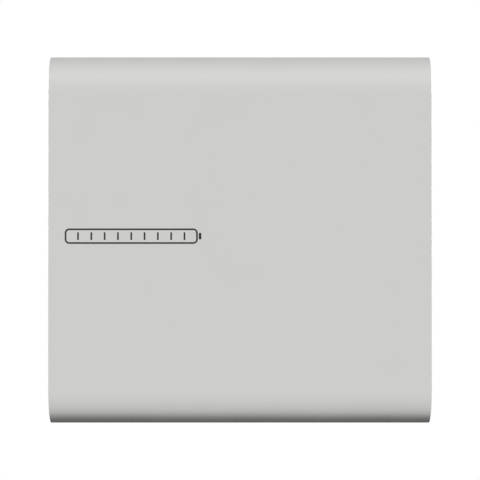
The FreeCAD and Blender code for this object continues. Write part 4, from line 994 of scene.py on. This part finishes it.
def module_lids():
    """The clear channels over the busbars, with stiffening ribs and clips."""
    shape = Shape("clear_lid").copy("module_lids")
    for low, high, _ in extents("module_lids"):
        for step in range(1, 8):
            x = low.x + (high.x - low.x) * step / 8
            shape.block((x - 0.7, low.y + 1.6, high.z - 3.6), (x + 0.7, high.y - 1.6, high.z - 1.4), 0.3)
        for x in (low.x + 34, low.x + 110, low.x + 186, low.x + 262):
            for half, back, front, tall in ((6, 0.9, 0.3, 8), (4, 1.8, -0.7, 2.6)):
                shape.block((x - half, low.y - back, low.z + 1), (x + half, low.y + front, low.z + tall), 0.4)
    shape.piece("module_lids", 0.35)


def sense_strips():
    """The flexible strip with its printed lines, the taps to every bar, and the plug with its latch."""
    shape, bars = Shape("flex_strip").copy("sense_strips"), short_bars()
    for low, high, middle in extents("sense_strips"):
        if high.x - low.x > 50:
            near = [box for box in bars if 0 < box[0].z - low.z < 8]
            for index, bar in enumerate(near):
                sense_tap(shape, bar, middle.y, middle.y - 4.6 + 1.3 * index, high)
    for low, high, _ in extents("sense_strips"):
        if high.x - low.x < 50:
            latch = (low.x + 0.5, low.y + 2.5, high.z - 0.2), (high.x - 2, high.y - 2.5, high.z + 0.9)
            shape.paint("connector").block(*latch, 0.3)
            shape.paint("tinned")
            for step in range(8):
                y = low.y + 1.6 + 1.8 * step
                shape.block((low.x - 0.8, y - 0.3, low.z + 0.9), (low.x + 0.4, y + 0.3, low.z + 1.6), 0)
    shape.piece("sense_strips", 0.12)


def sense_tap(shape, bar, y, line, end):
    """A printed line, and the tap from the strip's middle y to the near edge of a bar, with its lip."""
    bar_low, bar_high, middle = bar
    x, top, thin = middle.x + 14, end.z, 0.35
    shape.paint("tinned").block((x - thin, line - thin, top - 0.1), (end.x, line + thin, top + 0.1), 0)
    side = 1 if bar_low.y < y - 10 else -1
    edge = bar_high.y if side == 1 else bar_low.y
    near, far = sorted((y, edge + side * 0.6))
    shape.paint("flex_strip").block((x - 2.5, near, top - thin), (x + 2.5, far, top - 0.05), 0.1)
    riser = edge + side * 0.3
    shape.paint("tinned").block((x - 2, riser - 0.2, top - 0.3), (x + 2, riser + 0.2, bar_high.z + 0.3), 0.1)
    near, far = sorted((edge + side * 0.5, edge - side * 5))
    shape.block((x - 2, near, bar_high.z), (x + 2, far, bar_high.z + thin), 0.12)


def module_mounts():
    """The shelves, brackets and screws of the modules, and the partition with its grommets."""
    copied("module_shelves", 0.3, fold=(2, 0.8))
    copied("module_brackets", 0.35, fold=(2, 0.8))
    copied("partition", 0.25, fold=(1.5, 0.8))
    copied("cable_grommets", 0.35)
    screws_of("chassis_screws")


# ---------------------------------------------------------------- management board


def crossing(box, taken, margin):
    """True if the box comes nearer than the margin to a taken one, seen from the front."""
    left, foot, right, top = box[0] - margin, box[1] - margin, box[2] + margin, box[3] + margin
    return any(left < high.x and right > low.x and foot < high.z and top > low.z for low, high, *_ in taken)


BOARD_NODES = ("board_chips", "capacitors", "board_connectors", "power_terminals", "heat_sink")
PRINTED_LINES, SMALL_PARTS, BOARD_SEED = 46, 150, 11
PART_SIZES = ((3.2, 1.6, 0.6), (2.0, 1.25, 0.8), (2.0, 1.25, 0.5), (6.0, 3.2, 2.2), (4.6, 3.8, 1.4))


def management_board():
    """The board with printed lines, small parts, solder pads and screw lands."""
    shape = Shape("circuit_board").copy("management_board")
    low, high, _ = extents("management_board")[0]
    face, draw = low.y, random.Random(BOARD_SEED)
    taken = [box for name in BOARD_NODES for box in extents(name) if box[1].y > face - 0.5]
    land, reach = [(-0.1, 3.6), (0.08, 3.6), (0.1, 3.3), (0.1, 1.9)], Vector((4, 0, 4))
    for x, z in itertools.product((low.x + 6, high.x - 6), (low.z + 6, high.z - 6)):
        shape.paint("tinned").turned((x, face, z), TO_FRONT, land, SMALL_SEGMENTS)
        taken.append((Vector((x, 0, z)) - reach, Vector((x, 0, z)) + reach))
    shape.paint("board_trace")
    for index in range(PRINTED_LINES):
        x, z = low.x + 8 + draw.random() * 160, low.z + 6 + draw.random() * 88
        wide, long = draw.choice((0.5, 0.5, 0.8, 2.4)) / 2, 8 + draw.random() * 34
        box = (x, z - wide, x + long, z + wide) if index % 2 else (x - wide, z, x + wide, z + long)
        if box[2] < high.x - 3 and box[3] < high.z - 3:
            shape.block((box[0], face - 0.06, box[1]), (box[2], face + 0.1, box[3]), 0)
    for index in range(SMALL_PARTS):
        x, z = low.x + 6 + draw.random() * 164, low.z + 6 + draw.random() * 82
        long, wide, tall = draw.choice(PART_SIZES)
        if draw.random() < 0.5:
            long, wide = wide, long
        box = (x - long / 2, z - wide / 2, x + long / 2, z + wide / 2)
        if not crossing(box, taken, margin=1.4):
            taken.append((Vector((box[0], 0, box[1])), Vector((box[2], 0, box[3]))))
            small_part(shape, draw.choice(("chip", "chip", "ceramic_part")), box, face, tall)
    shape.piece("management_board", 0.0)


def small_part(shape, body, box, face, tall):
    """A small part of the board, with a tinned cap on each end of its longer side."""
    shape.paint(body).block((box[0], face - tall, box[1]), (box[2], face, box[3]), 0.15, 1)
    shape.paint("tinned")
    along_x = box[2] - box[0] > box[3] - box[1]
    start, stop = (box[0], box[2]) if along_x else (box[1], box[3])
    cap = 0.28 * (stop - start)
    for a, b in ((start - 0.25, start + cap), (stop - cap, stop + 0.25)):
        if along_x:
            shape.block((a, face - tall - 0.05, box[1] - 0.05), (b, face, box[3] + 0.05), 0.12, 1)
        else:
            shape.block((box[0] - 0.05, face - tall - 0.05, a), (box[2] + 0.05, face, b), 0.12, 1)


def board_pillars():
    """The hexagon pillars behind the board."""
    shape = Shape("brass")
    for low, high, middle in extents("board_pillars"):
        tall = high.y - low.y
        rings = [(0, 3.4), (0.3, 4, 4), (tall - 0.3, 4, 4), (tall, 3.4)]
        shape.turned((middle.x, high.y, middle.z), TO_FRONT, rings, SMALL_SEGMENTS)
    shape.piece("board_pillars", angle=35)


def board_chips():
    """The power transistors, and the square chips."""
    shape = Shape("chip")
    for low, high, middle in extents("board_chips"):
        if high.y - low.y > 3:
            transistor(shape, low, high, middle.x)
        else:
            square_chip(shape, low, high)
    shape.piece("board_chips", angle=35)


def transistor(shape, low, high, centre):
    """A power transistor with a metal tab and three bent legs."""
    face = high.y
    shape.paint("chip").block(low, (high.x, face - 0.3, high.z - 3.4), 0.5)
    tab = (low.x + 0.4, low.y + 1.2, low.z + 2), (high.x - 0.4, low.y + 2.4, high.z)
    shape.paint("tinned").block(*tab, 0.3)
    for x in (centre - 4.2, centre, centre + 4.2):
        for back, foot, top in ((low.y + 2.5, -3.4, 0.5), (face, -4.1, -3.4)):
            shape.block((x - 0.6, low.y + 1.8, low.z + foot), (x + 0.6, back, low.z + top), 0.12, 1)
    mark = (low.x + 1.6, low.y - 0.02, low.z + 1.4), (low.x + 2.6, low.y + 0.3, low.z + 2.4)
    shape.paint("silkscreen").block(*mark, 0)


def square_chip(shape, low, high):
    """A square chip with a dimple, and legs all round."""
    face, dimple = high.y, [(-0.2, 0.7), (0.06, 0.7), (0.06, 0.5), (-0.02, 0.4)]
    body = (low.x + 0.8, low.y, low.z + 0.8), (high.x - 0.8, face - 0.15, high.z - 0.8)
    shape.paint("chip").block(*body, 0.3)
    shape.turned((low.x + 2.2, low.y + 0.05, high.z - 2.2), TO_FRONT, dimple, 12)
    count = int((high.x - low.x - 2.4) / 0.9)
    shape.paint("tinned")
    for step in range(count):
        off = 1.4 + (step + 0.5) * (high.x - low.x - 2.8) / count
        x, z = low.x + off, low.z + off
        for end in (low.z - 0.3, high.z - 1.1):
            shape.block((x - 0.2, face - 0.4, end), (x + 0.2, face, end + 1.4), 0)
        for end in (low.x - 0.3, high.x - 1.1):
            shape.block((end, face - 0.4, z - 0.2), (end + 1.4, face, z + 0.2), 0)


def capacitors():
    """The capacitors, with a stripe down one side, and on each bare lid a flat cross in the body's dark colour
    that is painted shade of the vent scores.
    """
    shape = Shape("capacitor")
    for low, high, (x, _, z) in extents("capacitors"):
        tall, radius = high.y - low.y, (high.x - low.x) / 2
        rings = [(0, radius - 1), (0.5, radius - 0.3), (1.4, radius), (2.4, radius), (3.0, radius - 0.7),
                 (3.6, radius), (tall - 1, radius), (tall - 0.3, radius - 0.4), (tall, radius - 1.0)]
        first = len(shape.bm.faces)
        shape.paint("capacitor").turned((x, high.y, z), TO_FRONT, rings)
        shape.paint("capacitor_stripe")
        shape.bm.faces.ensure_lookup_table()
        for made in shape.bm.faces[first:]:
            if made.calc_center_median().x - x > radius * 0.86:
                made.material_index = shape.index
        lid = [(-0.2, radius - 1.0), (0.02, radius - 1.1), (-0.15, radius - 1.5)]
        shape.paint("tinned").turned((x, low.y, z), TO_FRONT, lid)
        # Painted shade of the vent scores: a flat cross in the dark body colour on the lid, not grooves.
        shape.paint("capacitor")
        for wide, deep in ((radius - 1.8, 0.18), (0.18, radius - 1.8)):
            shape.block((x - wide, low.y - 0.03, z - deep), (x + wide, low.y + 0.3, z + deep), 0)
    shape.piece("capacitors", angle=35)


def board_connectors():
    """The narrow and the square connectors with their pins, and the heat sink."""
    shape = Shape("connector")
    for low, high, _ in extents("board_connectors"):
        if high.x - low.x < 12:
            narrow_connector(shape, low, high)
        else:
            square_connector(shape, low, high)
    shape.piece("board_connectors", angle=35)
    copied("heat_sink", 0.45, 3)


def narrow_connector(shape, low, high):
    """A closed connector with a row of six pins beside it."""
    shape.paint("connector").block(low, high, 0.6)
    shape.block((low.x + 1.4, low.y - 0.02, low.z + 3), (high.x - 1.4, low.y + 2, low.z + 6), 0.3)
    shape.paint("tinned")
    for step in range(6):
        z = low.z + 3.5 + 3 * step
        shape.block((high.x - 0.2, high.y - 1.2, z - 0.35), (high.x + 1.2, high.y, z + 0.35), 0)


def square_connector(shape, low, high):
    """An open connector: four walls, a floor and a latch around sixteen pins."""
    wall = 1.3
    shape.paint("connector")
    for start, stop in ((low.x, low.x + wall), (high.x - wall, high.x)):
        shape.block((start, low.y, low.z), (stop, high.y, high.z), 0.3)
    for start, stop in ((low.z, low.z + wall), (high.z - wall, high.z)):
        shape.block((low.x, low.y, start), (high.x, high.y, stop), 0.3)
    shape.block((low.x + 0.4, high.y - 5, low.z + 0.4), (high.x - 0.4, high.y, high.z - 0.4), 0)
    shape.block((low.x + 5.5, low.y + 1, low.z - 0.9), (high.x - 5.5, high.y - 2, low.z + 0.5), 0.3)
    shape.paint("tinned")
    for across, up in itertools.product(range(4), repeat=2):
        x, z = low.x + 3.4 + across * 3.07, low.z + 3.6 + up * 3.6
        shape.block((x - 0.45, low.y + 2.5, z - 0.45), (x + 0.45, high.y - 4.5, z + 0.45), 0.15, 1)


# ---------------------------------------------------------------- power path


def power_terminals():
    """The copper blocks with their chamfers, the threaded studs and the bar between contactor and fuse."""
    shape = Shape("copper")
    boxes = extents("power_terminals")
    for low, high, middle in boxes:
        size = high - low
        if abs(size.x - size.z) < 0.2 and size.x < 12:
            stud = [(0, size.x / 2 - 0.1)] + thread(2.5, size.y, size.x / 2)
            shape.paint("fastener").turned((middle.x, high.y, middle.z), TO_FRONT, stud, SMALL_SEGMENTS)
        elif abs(size.x - size.z) < 0.2:
            shape.paint("copper").block(low, high, 0.8, 3)
            shape.block((low.x - 1.2, high.y - 0.8, low.z - 1.2), (high.x + 1.2, high.y, high.z + 1.2), 0.2)
    low, high, _ = max(boxes, key=lambda box: box[1].x - box[0].x)
    step_x, half = 124.0, 1.0
    near, far = low.y + half, high.y - half
    path = [(low.x, near), (step_x, near), (step_x + 1, far), (high.x, far)]
    strip(shape.paint("copper"), path, half, low.z, high.z)
    shape.piece("power_terminals", 0.0, angle=38)


def strip(shape, path, half, low, high, bend=2.2):
    """A flat bar of the given half thickness that follows points in plan, between two heights."""
    points = []
    for index, (x, y) in enumerate(path):
        here = Vector((x, y))
        if index in (0, len(path) - 1):
            points.append(here)
            continue
        back = (Vector(path[index - 1]) - here).normalized() * bend
        ahead = (Vector(path[index + 1]) - here).normalized() * bend
        for step in range(7):
            t = step / 6
            points.append((here + back) * (1 - t) ** 2 + here * (2 * t * (1 - t)) + (here + ahead) * t * t)
    rows = []
    for index, point in enumerate(points):
        way = points[min(index + 1, len(points) - 1)] - points[max(index - 1, 0)]
        side = Vector((-way.y, way.x)).normalized() * half
        spots = [(point + side, low), (point + side, high), (point - side, high), (point - side, low)]
        rows.append([shape.bm.verts.new((spot.x, spot.y, z)) for spot, z in spots])
    shape.skin(rows)


def contactor():
    """The contactor: a ribbed block, a stepped coil cover, a barrier and two small coil tabs."""
    shape = Shape("contactor_case")
    low, high, (x, _, z) = extents("contactor")[0]
    face = low.y + 5
    coil = [(-0.5, 16), (3.6, 16), (4.6, 15.2), (4.6, 13), (3.8, 12.4), (3.8, 9), (4.9, 8.2), (5, 6.8),
            (4.6, 6)]
    shape.block((low.x, face, low.z), high, 3.5, 5)
    shape.turned((x, face, z), TO_FRONT, coil, 48)
    for side in (-1, 1):
        for rib in range(-20, 21, 10):
            foot = (x + side * 23 - 0.7, face + 5, z + rib - 1.2)
            shape.block(foot, (x + side * 23 + 0.7, high.y - 4, z + rib + 1.2), 0.5)
        shape.turned((x + side * 19, high.y - 3, low.z + 5), TO_FRONT, [(0, 3), (1, 3)], 12)
    for start in (x - 20, x + 15.2):
        shape.block((start, face - 2.4, z - 1.1), (start + 4.8, face + 1, z + 1.1), 0.4)
    shape.paint("tinned")
    for tab in (x - 19, x + 19):
        shape.block((tab - 3.1, face - 5, z + 6), (tab + 3.1, face + 2, z + 6.8), 0.2)
    shape.piece("contactor", angle=35)


def main_fuse():
    """The fuse: ceramic body between end caps, on slotted blades, over a moulded base."""
    copied("fuse_base", 0.8, 3)
    shape = Shape("fuse_ceramic")
    low, high, (x, _, z) = extents("fuse_body")[0]
    shape.block(low, high, 3.2, 5)
    shape.paint("board_trace")
    for line in (z - 15, z + 14.2):
        shape.block((low.x + 3, low.y - 0.05, line), (high.x - 3, low.y + 0.3, line + 0.8), 0)
    pin = [(0, 1.6), (0.5, 1.5), (0.6, 1.2)]
    shape.paint("indicator_red").turned((x, low.y + 0.3, z), TO_FRONT, pin, SMALL_SEGMENTS)
    shape.piece("fuse_body", angle=35)
    copied("fuse_blades", 0.35)
    copied("cable_lugs", 0.45)


# ---------------------------------------------------------------- circuit breaker and button


def breaker():
    """The breaker: its case with a pole joint, rails, marks and indicator windows, its rail and lever."""
    shape = Shape("breaker_case").copy("breaker_body")
    low, high, (_, y, z) = extents("breaker_body")[0]
    shape.paint("rubber")
    for x, start, stop in ((high.x - 22, 23, 44.4), (high.x, 13.6, 22)):
        for near, far in ((z - stop, z - start), (z + start, z + stop)):
            shape.block((x - 0.4, y - 0.22, near), (x + 0.05, y + 0.22, far), 0)
    for pole in (y - 9, y + 9):
        window = (high.x - 0.3, pole - 2.6, z - 18.6), (high.x + 0.06, pole + 2.6, z - 16)
        shape.paint("indicator_red").block(*window, 0.1)
        shape.paint("breaker_case")
        for edge in (z - 19.3, z - 15.9):
            shape.block((high.x - 0.2, pole - 3.2, edge), (high.x + 0.3, pole + 3.2, edge + 0.6), 0.15)
    rivet = [(-0.2, 2.6), (0.35, 2.6), (0.5, 2.2), (0.5, 1.2), (0.1, 1.0)]
    for side_y, sign in ((low.y, -1), (high.y, 1)):
        near, far = sorted((side_y, side_y + sign * 0.5))
        for step in range(6):
            x = low.x + 8 + step * 5
            shape.block((x, near - 0.1, z - 30), (x + 2, far + 0.1, z + 30), 0.3)
        for up, x in itertools.product((-38, 38), (low.x + 6, low.x + 36)):
            shape.turned((x, side_y, z + up), (0, sign, 0), rivet, SMALL_SEGMENTS)
    shape.piece("breaker_body", 0.0, angle=35)
    copied("breaker_rail", 0.25)
    copied("breaker_lever", 0.35, 3)


def breaker_flap():
    """The smoked flap with an inner frame rib, and its hinge."""
    shape = Shape("flap").copy("breaker_flap")
    low, high, (_, y, _) = extents("breaker_flap")[0]
    plate = high.x - 1.6
    for left, right, top in ((-25, 25, 4.4), (-25, -23.8, 58), (23.8, 25, 58)):
        shape.block((plate - 3.0, y + left, low.z + 3.2), (plate - 1.9, y + right, low.z + top), 0.25)
    for step in range(3):
        z = low.z + 6 + 2.4 * step
        shape.block((plate - 0.1, y - 9, z), (plate + 0.7, y + 9, z + 1), 0.3)
    shape.piece("breaker_flap", 0.4, 3)
    copied("flap_hinge", 0.3)


def power_button():
    """The button: a stepped ring and nut, the switch block with its tabs, and the dished plunger."""
    shape = Shape("button_case").copy("button_housing")
    (x, _, _), _, (_, y, z) = min(extents("button_housing"), key=lambda box: box[0].x)
    shape.paint("tinned")
    for tab_y, tab_z in itertools.product((y - 4, y + 4), (z - 4, z + 4)):
        shape.block((x - 6, tab_y - 1.4, tab_z - 0.4), (x + 1, tab_y + 1.4, tab_z + 0.4), 0.15)
    shape.piece("button_housing", 0.35, 3)
    shape = Shape("button").copy("power_button")
    _, high, (_, y, z) = extents("power_button")[0]
    shape.paint("indicator_green")
    dish = high.x - 0.52
    arc(shape, (dish, y, z), radius=2.5, half=0.34, rise=0.25, first=40, last=320)
    shape.block((dish - 0.1, y - 0.35, z + 0.7), (dish + 0.25, y + 0.35, z + 3.2), 0)
    shape.piece("power_button", 0.1, 3)


def button_spring():
    """The coil spring behind the plunger."""
    low, high = [Vector(corner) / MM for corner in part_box("button_spring")]
    wire, turns, steps, sides = 0.4, 5, 28, 10
    middle = (low + high) / 2
    reach, length = (high.y - low.y) / 2 - wire, high.x - low.x - 2 * wire
    shape, rows = Shape(slot_of["button_spring"]), []
    for step in range(turns * steps + 1):
        angle = 2 * math.pi * step / steps
        out = Vector((0, math.cos(angle), math.sin(angle)))
        centre = Vector((low.x + wire + length * step / turns / steps, middle.y, middle.z)) + reach * out
        turned = [2 * math.pi * side / sides for side in range(sides)]
        around = [centre + wire * (math.cos(turn) * out + math.sin(turn) * RIGHT) for turn in turned]
        rows.append([shape.bm.verts.new(spot) for spot in around])
    shape.skin(rows)
    made = shape.piece("button_spring", angle=40)
    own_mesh(made)


def arc(shape, centre, radius, half, rise, first, last):
    """A flat raised arc on a face that looks along +X; angles are in degrees from the top."""
    rows, steps, sunk = [], 24, -0.1
    low, high = radius - half, radius + half
    for step in range(steps + 1):
        angle = math.radians(first + (last - first) * step / steps)
        spots = [Vector((lift, reach * math.sin(angle), reach * math.cos(angle)))
                 for reach, lift in ((low, sunk), (low, rise), (high, rise), (high, sunk))]
        rows.append([shape.bm.verts.new(Vector(centre) + spot) for spot in spots])
    shape.skin(rows)


# ---------------------------------------------------------------- cables


def cables():
    """The cables and leads, and the shrunk sleeves over their lugs."""
    for node in ("positive_cables", "negative_cables", "sense_leads"):
        shape = Shape(slot_of[node]).copy(node)
        if node != "sense_leads":
            sleeves(shape, node)
        shape.piece(node, angle=40)


def sleeves(shape, node):
    """Sleeves shrunk over the lug barrels whose cables belong to the node."""
    cable_points = [point for group in solids(node) for point in group]
    rings = [(-7, 5.34), (-6.9, 5.75), (-0.6, 5.8), (0.6, 5.6), (2.4, 4.9), (4.2, 4.62), (9.8, 4.55),
             (10, 4.3), (10, 4.02)]
    for points in solids("cable_lugs"):
        low, high, _ = limits(points)
        size = high - low
        axis = max(range(3), key=lambda i: size[i])
        ends = []
        for level in (low[axis], high[axis]):
            a, b, middle = limits([p for p in points if abs(p[axis] - level) < 0.5])
            ends.append((min((b - a)[i] for i in range(3) if i != axis), level, middle))
        _, level, middle = max(ends, key=lambda end: end[:2])
        direction = Vector()
        direction[axis] = 1 if level > low[axis] + 1 else -1
        mouth = middle + direction * 6
        if min((point - mouth).length for point in cable_points) <= 7:
            shape.turned(middle, direction, rings)


PIECES = [
    front_cover, cover_parts, side_panels, breather_vent, wall_side, chassis_tray, guide_pins, power_nuts,
    bay_sheets, glands, earth_stud, cells, cell_terminals, busbars, end_plates, module_lids, sense_strips,
    module_mounts, management_board, board_pillars, board_chips, capacitors, board_connectors,
    power_terminals, contactor, main_fuse, breaker, breaker_flap, power_button, button_spring, cables,
]


# ---------------------------------------------------------------- camera, light and floor

# How bright the room is by angle in degrees: 0 is level in front, 90 is overhead, 180 is behind.
ROOM = [(-180, 0.43), (-170, 0.09), (-150, 0.0), (-135, 0.0), (-120, 0.0), (-105, 0.31), (-90, 0.606),
        (-75, 0.7), (-60, 0.76), (-30, 0.87), (0, 0.826), (30, 0.832), (60, 0.977), (90, 0.875), (120, 0.715),
        (150, 0.6), (180, 0.43)]
SIDE_FILL = 0.55        # the least level far to the left and right
CAMERA_DISTANCE, SENSOR, LENS = 4.14, 36, 190       # metres, millimetres, millimetres


def camera():
    """The camera of the photograph: straight on, from about four metres."""
    made = placed("camera", bpy.data.cameras.new("camera"))
    made.data.sensor_width, made.data.lens = SENSOR, LENS
    made.location = (0, -CAMERA_DISTANCE, 0)
    made.rotation_euler = (math.radians(90), 0, 0)
    made.data.clip_start, made.data.clip_end = 0.1, 50
    bpy.context.scene.camera = made


def lamp(name, place, size, watts, aim=(0, -0.1, 0)):
    """A square area light that faces a point."""
    light = bpy.data.lights.new(name, "AREA")
    light.shape, light.size, light.size_y, light.energy = "RECTANGLE", size, size, watts
    made = placed(name, light)
    made.location = place
    made.rotation_euler = (Vector(aim) - Vector(place)).to_track_quat("-Z", "Y").to_euler()


def lighting():
    """A soft room, dark low down at the back, with two side lamps. The camera sees plain white."""
    for side in (-1, 1):
        lamp(f"side_light_{side}", (4.0 * side, 1.4, 1.0), size=2.0, watts=100)
    world = bpy.data.worlds.new("room")
    bpy.context.scene.world = world
    world.use_nodes = True
    tree = world.node_tree
    tree.nodes.clear()
    place = put(tree, "TexCoord", {}).outputs["Generated"]
    parts = put(tree, "SeparateXYZ", {"Vector": place}).outputs
    front = put(tree, "Math", {0: parts["Y"], 1: -1.0}, operation="MULTIPLY").outputs[0]
    angle = put(tree, "Math", {0: parts["Z"], 1: front}, operation="ARCTAN2").outputs[0]
    turn = put(tree, "MapRange", {"Value": angle, "From Min": -math.pi, "From Max": math.pi})
    ramp = put(tree, "ValToRGB", {"Fac": turn.outputs["Result"]})
    bar = ramp.color_ramp
    while len(bar.elements) < len(ROOM):
        bar.elements.new(0.5)
    for stop, (degrees, level) in zip(bar.elements, ROOM):
        stop.position = (degrees + 180) / 360
        stop.color = (level, level, level, 1)
    aside = put(tree, "Math", {0: parts["X"]}, operation="ABSOLUTE").outputs[0]
    fill = put(tree, "MapRange", {"Value": aside, "From Min": 0.3, "From Max": 0.7, "To Max": SIDE_FILL})
    most = put(tree, "Math", {0: ramp.outputs["Color"], 1: fill.outputs["Result"]}, operation="MAXIMUM")
    room = put(tree, "Background", {"Color": most.outputs[0], "Strength": 1.0})
    seen = put(tree, "Background", {"Color": (1, 1, 1, 1), "Strength": 1.0})
    direct = put(tree, "LightPath", {}).outputs["Is Camera Ray"]
    mixed = put(tree, "MixShader", {0: direct, 1: room.outputs[0], 2: seen.outputs[0]})
    tree.links.new(mixed.outputs[0], put(tree, "OutputWorld", {}).inputs["Surface"])
    bpy.context.scene.view_settings.view_transform = "Standard"


def floor():
    """A pale floor below the unit, which neither lights nor shadows it."""
    mesh = bpy.data.meshes.new("floor")
    left, right, front, back, level = -5.0, 12.0, -12.0, 4.2, -1.2
    corners = [(left, front, level), (right, front, level), (right, back, level), (left, back, level)]
    mesh.from_pydata(corners, [], [(0, 1, 2, 3)])
    made = placed("floor", mesh)
    mesh.materials.append(finish_of["floor_paint"])
    made.visible_diffuse = made.visible_glossy = made.visible_shadow = False


for node, item in nodes.items():
    for holder in item.material_slots:
        holder.material = finish_of[slot_of[node]]
camera()
lighting()
floor()
for make in PIECES:
    make()
